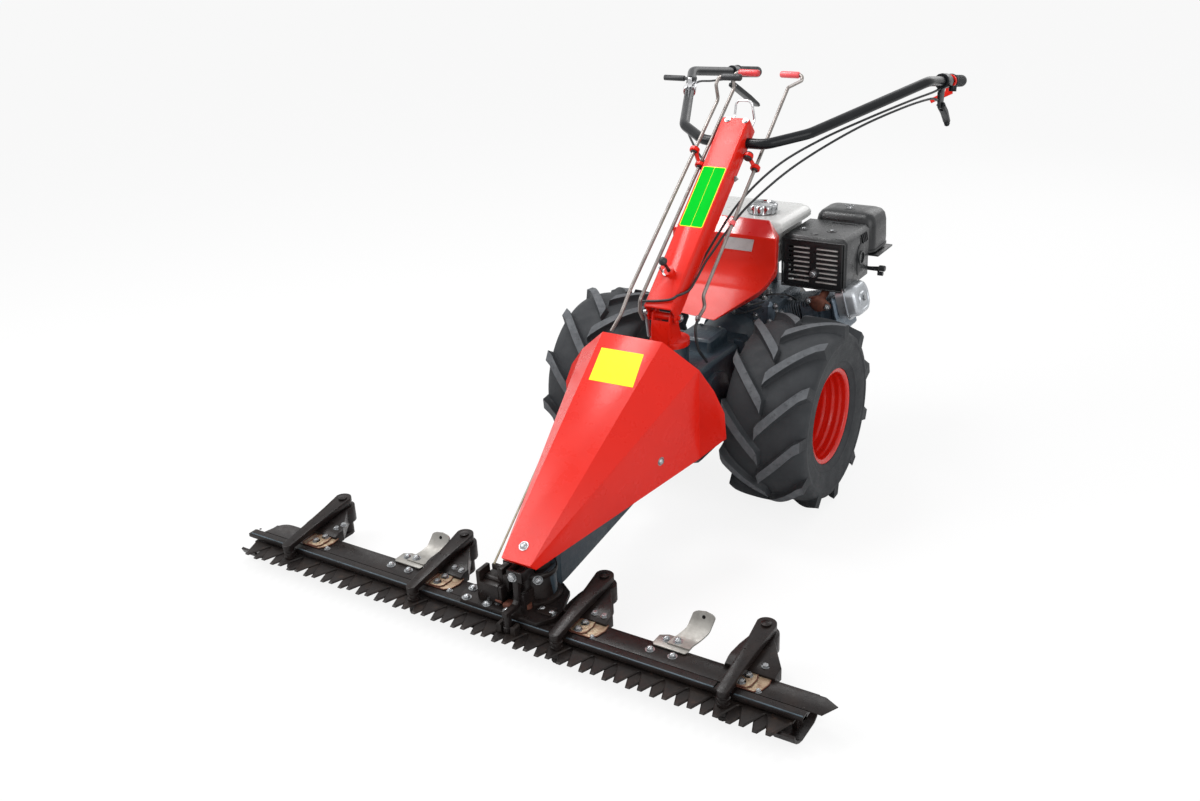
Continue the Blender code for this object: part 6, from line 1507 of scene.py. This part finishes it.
def muffler_cover_parts():
    front, top, right = 0.298, 0.689, 0.308
    lips, shine = [], []
    for row in range(8):
        z = 0.553 + 0.01445 * row
        for x in (0.162, 0.25):
            lips.append(block((0.072, 0.005, 0.003), (x, front - 0.0012, z + 0.0048), 0.0012))
    port = round_box(0.074, 0.096, 0.02, (0.432, 0.6))
    port_top = round_box(0.068, 0.09, 0.018, (0.432, 0.6))
    beside = move(right - 0.001, 0, 0) @ ALONG_X
    press = [
        pipe(
            [
                (0.108, front - 0.0004, 0.676), (0.304, front - 0.0004, 0.676),
                (0.304, front - 0.0004, 0.532), (0.108, front - 0.0004, 0.532),
                (0.108, front - 0.0004, 0.676),
            ],
            0.0032, 10, closed_ends=False,
        ),
        lathe(
            [(0, 0), (0, 0.017), (0.004, 0.015), (0.005, 0.012), (0.005, 0)], 28,
            facing((0.21, front, 0.578), (0, -1, 0)),
        ),
        block((0.078, 0.005, 0.003), (0.236, 0.47, top + 0.0005), 0.001),
    ]
    port_rim = [(0, 0.0165), (0, 0.0225), (0.005, 0.0215), (0.005, 0.0165)]
    press.append(loft([(0, port), (0.0022, port), (0.0034, port_top)], beside))
    press.append(lathe(port_rim, 32, facing((right + 0.0015, 0.42, 0.606), (1, 0, 0))))
    for number in range(4):
        at = move(right + 0.0015, 0.43 + 0.0125 * number, 0.66) @ Matrix.Rotation(0.5, 4, "X")
        press.append(block((0.005, 0.004, 0.034), bevel=0.0018, within=at))
    for x, y in ((0.145, 0.371), (0.232, 0.378)):
        at = move(x, y, top)
        press.append(lathe([(0, 0.008), (0, 0.016), (0.0018, 0.0145), (0.0018, 0.008)], 28, at))
        shine.append(hex_head(0.0066, 0.0034, 0.001, at=at))
    press.append(lathe([(0, 0), (0, 0.012), (0.0016, 0.01), (0.0016, 0)], 24, move(0.196, 0.335, top)))
    piece("muffler_cover_lips", joined(*lips, *press), COVER, "chassis")
    nut = facing((0.21, front - 0.005, 0.578), (0, -1, 0))
    shine += [hex_head(0.0085, 0.007, 0.0014, at=nut), stud(0.0042, 0.014, nut)]
    fixings("muffler_cover_bolts", shine, "chassis")
    # A dark disc inside the port's rim: painted shade of the port's opening.
    hole = [(0, 0), (0, 0.0165), (0.0012, 0.016), (0.0012, 0)]
    port_hole = lathe(hole, 28, facing((right, 0.42, 0.606), (1, 0, 0)))
    piece("muffler_port_shade", port_hole, HOLE_SHADE, "chassis")
    # Pale plates just behind the louvre slots: the silver shield, lightened to near white as a painted
    # reflection so that the slots look bright.
    shield = [
        block((0.052, 0.0012, 0.132), (0.169, front + 0.0052, 0.603), 0.0003),
        block((0.07, 0.0012, 0.132), (0.25, front + 0.0052, 0.603), 0.0003),
    ]
    piece("muffler_shield", joined(*shield), SHIELD_WITH_PAINTED_SHINE, "chassis")


def choke_lever():
    line = [(0.262, 0.4535, 0.465), (0.262, 0.4752, 0.509), (0.262, 0.497, 0.553)]
    knob = [(-0.01, 0), (-0.01, 0.0072), (-0.008, 0.0092), (0.008, 0.0092), (0.01, 0.0072), (0.01, 0)]
    shapes = [
        pipe([(0.233, 0.4535, 0.465), (0.264, 0.4535, 0.465)], 0.003, 14),
        pipe(line, 0.0034, 12),
        lathe(knob, 24, facing((0.264, 0.497, 0.553), (1, 0, 0))),
    ]
    dressed("choke_lever", joined(*shapes), PLASTIC, "choke_lever")
    arm = smooth_line(
        [(0.268, 0.56, 0.594), (0.272, 0.54, 0.566), (0.29, 0.512, 0.549), (0.346, 0.506, 0.553)], 0.006,
    )
    held = [
        pipe(arm, 0.0034, 12),
        lathe(knob, 24, facing((0.35, 0.5, 0.553), (1, 0, 0))),
        block((0.04, 0.004, 0.012), (0.318, 0.508, 0.546), 0.0015),
        disc(0.0066, -0.008, 0.008, 20, facing((0.344, 0.504, 0.5345), (1, 0, 0))),
        block((0.006, 0.004, 0.022), (0.336, 0.508, 0.542), 0.0012),
    ]
    piece("filter_bracket", joined(*held), PLASTIC, "chassis")


def fins():
    plates = []
    for k in range(11):
        at = CYLINDER @ move(0.13 + 0.008 * k, 0, 0) @ ALONG_X
        outline = round_box(0.14, 0.121, 0.012)
        plates.append(loft([(0, outline), (0.002, outline)], at))
    piece("cylinder_fins", joined(*plates), FIN, "chassis")


def air_cleaner():
    def deck(inset):
        return round_box(0.196 - 2 * inset, 0.14 - 2 * inset, 0.028 - inset * 0.4, (0.219, 0.572), 8)

    sections = [
        (0.592, deck(0.006)), (0.594, deck(0.001)), (0.62, deck(0.0)), (0.676, deck(0.002)),
        (0.696, deck(0.006)), (0.707, deck(0.014)), (0.7125, deck(0.026)), (0.715, deck(0.046)),
    ]
    groove = loft([(0.597, deck(-0.0015)), (0.603, deck(-0.0015))])
    lip = block((0.09, 0.006, 0.0022), (0.206, 0.507, 0.6905), 0.001)
    body = joined(loft(sections), groove, lip)
    piece("air_cleaner_dressed", body, COVER, "chassis", ("air_cleaner_cover",), 40)
    nut = [(0.7148, 0), (0.7148, 0.0085), (0.7158, 0.0085), (0.7158, 0.0062), (0.7205, 0.005), (0.7205, 0)]
    wing = [
        lathe(nut, 20, move(*WING_PLACE)),
        lathe([(0.715, 0), (0.715, 0.003), (0.7262, 0.0026), (0.7262, 0)], 14, move(*WING_PLACE)),
    ]
    outline = [
        (0.003, 0.7165), (0.0115, 0.7195), (0.0165, 0.724), (0.015, 0.7262), (0.011, 0.724), (0.003, 0.72),
    ]
    for angle in (205, 25):
        at = move(*WING_PLACE) @ Matrix.Rotation(math.radians(angle), 4, "Z") @ UPRIGHT
        wing.append(prism(outline, -0.0011, 0.0011, 0.0005, 1, at))
    fixings("air_cleaner_wing_nut", wing, "chassis")


def fuel_tank():
    def deck(right, inset):
        left, front, back = -0.193, 0.242, 0.504
        outline = []
        for k, (sx, sy) in enumerate(((1, 1), (-1, 1), (-1, -1), (1, -1))):
            x = (right if sx > 0 else left) - sx * (0.03 + inset)
            y = (back if sy > 0 else front) - sy * (0.03 + inset)
            outline += arc((x, y), 0.03, 90 * k, 90 * k + 90, 7)
        return outline

    sections = [
        (0.586, deck(0.09, 0.016)), (0.59, deck(0.092, 0.006)), (0.597, deck(0.092, 0.0)),
        (0.648, deck(0.092, 0.0)), (0.65, deck(0.0945, -0.0025)), (0.656, deck(0.0945, -0.0025)),
        (0.658, deck(0.092, 0.0)), (0.688, deck(0.092, 0.0)), (0.695, deck(0.112, 0.0)),
        (0.704, deck(0.121, 0.0)), (0.716, deck(0.122, 0.0)), (0.726, deck(0.119, 0.004)),
        (0.732, deck(0.113, 0.01)), (0.7345, deck(0.103, 0.02)), (0.735, deck(0.09, 0.034)),
    ]
    neck = lathe([(0.734, 0), (0.734, 0.034), (0.7362, 0.033), (0.7362, 0)], 40, move(*CAP_PLACE))
    dressed("fuel_tank", joined(loft(sections), neck), TANK, "chassis", 40)


def surface(*names):
    """The meshes of some CAD nodes, to set small fittings down on them."""
    points, faces = [], []
    for name in names:
        mesh, first = NODES[name].data, len(points)
        points += [vertex.co for vertex in mesh.vertices]
        faces += [[first + i for i in face.vertices] for face in mesh.polygons]
    return BVHTree.FromPolygons(points, faces)


def on_surface(tree, start, away):
    """A frame on the first face that a ray meets against a direction, or None."""
    away = Vector(away).normalized()
    spot, normal, _, _ = tree.ray_cast(MACHINE @ Vector(start), -away)
    if spot is None:
        return None
    return facing(MACHINE.inverted() @ spot, normal if normal.dot(away) > 0 else -normal)


def engine_fittings():
    """Bolts and small fittings on the bell, the crankcase and the cylinder head, with a few wires."""
    bright, dark = [], []
    engine = surface("engine_crankcase", "cylinder", "gearbox_housing")
    spots = []
    for k in range(12):
        a = 2 * math.pi * (k + 0.5) / 12
        spots.append(((0.106 * math.cos(a), 0.0, 0.365 + 0.106 * math.sin(a)), (0, -1, 0), 0.007))
    for y, z in ((0.23, 0.29), (0.3, 0.282), (0.38, 0.29), (0.225, 0.47), (0.395, 0.482)):
        spots.append(((0.4, y, z), (1, 0, 0), 0.0066))
    for x, y, z, radius in (
        (0.108, 0.176, 0.52, 0.0085), (0.132, 0.196, 0.496, 0.008), (0.066, 0.15, 0.505, 0.007),
        (0.146, 0.214, 0.47, 0.008), (0.03, 0.12, 0.486, 0.0075), (0.118, 0.19, 0.446, 0.0075),
        (0.086, 0.16, 0.47, 0.0065), (0.16, 0.25, 0.5, 0.007),
    ):
        toward_camera = Vector((0.42, -0.86, 0.28))
        spots.append((Vector((x, y, z)) + toward_camera * 0.15, toward_camera, radius))
    for start, away, radius in spots:
        at = on_surface(engine, start, away)
        if at:
            bright += [hex_head(radius, radius * 0.7, 0.0012, at=at), stud(radius * 0.5, radius * 1.2, at)]
    cap = [(0, 0), (0, 0.012), (0.006, 0.012), (0.008, 0.009), (0.018, 0.009), (0.02, 0.007), (0.02, 0)]
    at = on_surface(engine, (0.08, 0.262, 0.58), (0, 0, 1))
    if at:
        bright.append(lathe(cap, 24, at))
    fixings("engine_bolts", bright, "chassis")
    lines = (
        [
            (-0.01, 0.2, 0.5), (0.03, 0.16, 0.494), (0.066, 0.17, 0.5), (0.098, 0.224, 0.5),
            (0.118, 0.286, 0.5),
        ],
        [
            (-0.03, 0.21, 0.49), (0.012, 0.15, 0.476), (0.052, 0.14, 0.482), (0.086, 0.196, 0.488),
            (0.1, 0.242, 0.492),
        ],
        [(0.06, 0.225, 0.505), (0.11, 0.23, 0.52), (0.144, 0.262, 0.512), (0.15, 0.32, 0.51)],
    )
    for line in lines:
        for end in (0, -1):
            at = on_surface(engine, Vector(line[end]) + Vector((0, 0, 0.06)), (0, 0, 1))
            if at:
                line[end] = at.translation
        dark.append(pipe(smooth_line(line, 0.008), 0.0026, 10))
    plug = [(0, 0), (0, 0.0085), (0.016, 0.0085), (0.02, 0.011), (0.036, 0.011), (0.04, 0.007), (0.04, 0)]
    dark.append(lathe(plug, 24, CYLINDER @ facing((0.25, -0.068, -0.03), (0.2, -1, 0.1))))
    piece("engine_wires", joined(*dark), PLASTIC, "chassis")


def lock_ring():
    """A small ring with a pin on it, low on the column's front."""
    base = COLUMN @ facing((-0.012, 0.112, 0.0), (0, 0, 1))
    ringed = [
        lathe([(0.003, 0.0075), (0.003, 0.0125), (0.006, 0.0125), (0.0065, 0.0075)], 28, base),
        placed(pipe([(0.015, 0.0, 0.0), (0.015, 0.0, 0.024)], 0.0022, 12), base),
        dome_head(0.0028, 0.002, base @ move(0.015, 0, 0.024)),
    ]
    fixings("lock_ring", ringed, "steering")


shroud_marks()
column_marks()
engine_fittings()
lock_ring()
fuel_tank()
hood()
fuel_cap()
valve_cover()
exhaust_flange()
muffler_cover_parts()
air_cleaner()
choke_lever()
fins()


# CAD nodes that stay

WELD_DISTANCE = 0.00002
SHARP_ANGLE = math.radians(30)


def keep(names, material, bevel):
    """A CAD node keeps its mesh, and gets its material, welded corners and soft edges."""
    for name in names.split():
        obj = NODES[name]
        obj.data.materials.clear()
        obj.data.materials.append(material)
        weld = obj.modifiers.new("weld", "WELD")
        weld.merge_threshold = WELD_DISTANCE
        edge = obj.modifiers.new("edge", "BEVEL")
        edge.width = bevel
        edge.segments = 2
        edge.limit_method = "ANGLE"
        edge.angle_limit = SHARP_ANGLE
        edge.harden_normals = False
        for face in obj.data.polygons:
            face.use_smooth = True
        split = obj.modifiers.new("sharp", "EDGE_SPLIT")
        split.split_angle = SHARP_ANGLE
        split.use_edge_sharp = False


keep("mower_shroud", RED, 0.0014)
keep("column column_foot throttle_lever", RED, 0.001)
keep("gearbox_housing mower_beam", GEARBOX, 0.0012)
beam = NODES["mower_beam"]
beam.data.materials.append(BLACK)
for face in beam.data.polygons:
    centre = MACHINE.inverted() @ (beam.matrix_world @ face.center)
    if centre.z < 0.086 or centre.y < -0.905 or centre.x < -0.04:
        face.material_index = 1
keep(" ".join(f"lower_arm_{n}" for n in (1, 2, 3, 4)), BLACK, 0.0008)
keep("engine_crankcase cylinder", CASE, 0.001)
keep("carburettor", COVER, 0.001)
keep("muffler axle_left axle_right crankshaft main_shaft mower_drive_shaft", DULL_STEEL, 0.0006)
keep("muffler_cover fan_housing", COVER, 0.0022)
keep("brake_clamp brake_lever clutch_lever", SATIN, 0.0008)
keep("lock_plunger cable_lever starter_handle", PLASTIC, 0.0005)


# Floor, light and camera

FLOOR_SIZE = 30
FLOOR_HEIGHT = -0.0005
FLOOR_GREY = (0.8, 0.8, 0.8, 1)
FLOOR_GLOW = 0.86
WORLD_STRENGTH = 0.7
# The camera as solved from the photograph: yaw, pitch and roll in degrees, focal length in pixels.
CAMERA_PLACE = (1.5143, -2.8959, 1.6952)
CAMERA_TURNS = (33.1841, -23.8202, -2.921)
FOCAL_LENGTH = 1188.855
PHOTO_WIDTH = 1200
SENSOR_WIDTH = 36


def backdrop():
    """A light grey floor that keeps the object's shadow, in a white world that lights more softly.

    The floor glows where anything but the camera sees it. The world is white to the camera, to
    reflections and through glass.
    """
    shape = bmesh.new()
    bmesh.ops.create_grid(shape, x_segments=1, y_segments=1, size=FLOOR_SIZE)
    mesh = bpy.data.meshes.new("floor")
    shape.to_mesh(mesh)
    shape.free()
    floor = bpy.data.objects.new("floor", mesh)
    bpy.context.scene.collection.objects.link(floor)
    floor.location.z = FLOOR_HEIGHT
    material = bpy.data.materials.new("floor_white")
    material.use_nodes = True
    tree = material.node_tree
    tree.nodes.clear()
    out = tree.nodes.new("ShaderNodeOutputMaterial")
    path = tree.nodes.new("ShaderNodeLightPath")
    diffuse = add_node(tree, "ShaderNodeBsdfDiffuse", Color=FLOOR_GREY)
    white = add_node(tree, "ShaderNodeEmission", Color=(1, 1, 1, 1), Strength=1.0)
    seen = tree.nodes.new("ShaderNodeMixShader")
    seen.inputs["Fac"].default_value = FLOOR_GLOW
    tree.links.new(diffuse.outputs["BSDF"], seen.inputs[1])
    tree.links.new(white.outputs["Emission"], seen.inputs[2])
    choose = tree.nodes.new("ShaderNodeMixShader")
    tree.links.new(path.outputs["Is Camera Ray"], choose.inputs["Fac"])
    tree.links.new(diffuse.outputs["BSDF"], choose.inputs[1])
    tree.links.new(seen.outputs["Shader"], choose.inputs[2])
    tree.links.new(choose.outputs["Shader"], out.inputs["Surface"])
    mesh.materials.append(material)

    world = bpy.data.worlds.new("studio")
    world.use_nodes = True
    bpy.context.scene.world = world
    tree = world.node_tree
    background = tree.nodes["Background"]
    background.inputs["Color"].default_value = (1, 1, 1, 1)
    path = tree.nodes.new("ShaderNodeLightPath")
    either = tree.nodes.new("ShaderNodeMath")
    either.operation = "MAXIMUM"
    tree.links.new(path.outputs["Is Camera Ray"], either.inputs[0])
    tree.links.new(path.outputs["Is Glossy Ray"], either.inputs[1])
    any_ray = tree.nodes.new("ShaderNodeMath")
    any_ray.operation = "MAXIMUM"
    tree.links.new(either.outputs[0], any_ray.inputs[0])
    tree.links.new(path.outputs["Is Transmission Ray"], any_ray.inputs[1])
    strength = spread(tree, any_ray.outputs[0], 0, 1, WORLD_STRENGTH, 1.0)
    tree.links.new(strength, background.inputs["Strength"])


def lamp(name, place, target, size, power):
    data = bpy.data.lights.new(name, "AREA")
    data.shape = "DISK"
    data.size = size
    data.energy = power
    obj = bpy.data.objects.new(name, data)
    bpy.context.scene.collection.objects.link(obj)
    place, target = Vector(place), Vector(target)
    obj.matrix_world = MACHINE @ facing(place, place - target)


def camera():
    yaw, pitch, roll = (math.radians(angle) for angle in CAMERA_TURNS)
    ahead = Vector((-math.sin(yaw) * math.cos(pitch), math.cos(yaw) * math.cos(pitch), math.sin(pitch)))
    right = ahead.cross(Vector((0, 0, 1))).normalized()
    up = right.cross(ahead)
    turned_right = right * math.cos(roll) + up * math.sin(roll)
    turned_up = up * math.cos(roll) - right * math.sin(roll)
    data = bpy.data.cameras.new("camera")
    data.sensor_fit = "HORIZONTAL"
    data.sensor_width = SENSOR_WIDTH
    data.lens = FOCAL_LENGTH * SENSOR_WIDTH / PHOTO_WIDTH
    data.clip_end = 60
    obj = bpy.data.objects.new("camera", data)
    bpy.context.scene.collection.objects.link(obj)
    obj.matrix_world = MACHINE @ frame_of(turned_right, turned_up, -ahead, CAMERA_PLACE)
    bpy.context.scene.camera = obj


backdrop()
lamp("key", (-2.6, -2.0, 3.2), (0, -0.2, 0.4), 2.4, 90)
lamp("fill", (3.2, -2.2, 1.9), (0, -0.2, 0.4), 3.0, 55)
lamp("back", (0.5, 3.4, 2.6), (0, 0.2, 0.5), 2.5, 30)
lamp("top", (-0.96, 0.1, 3.0), (0, 0.1, 0.7), 1.0, 36)
camera()
bpy.context.scene.view_settings.view_transform = "Standard"
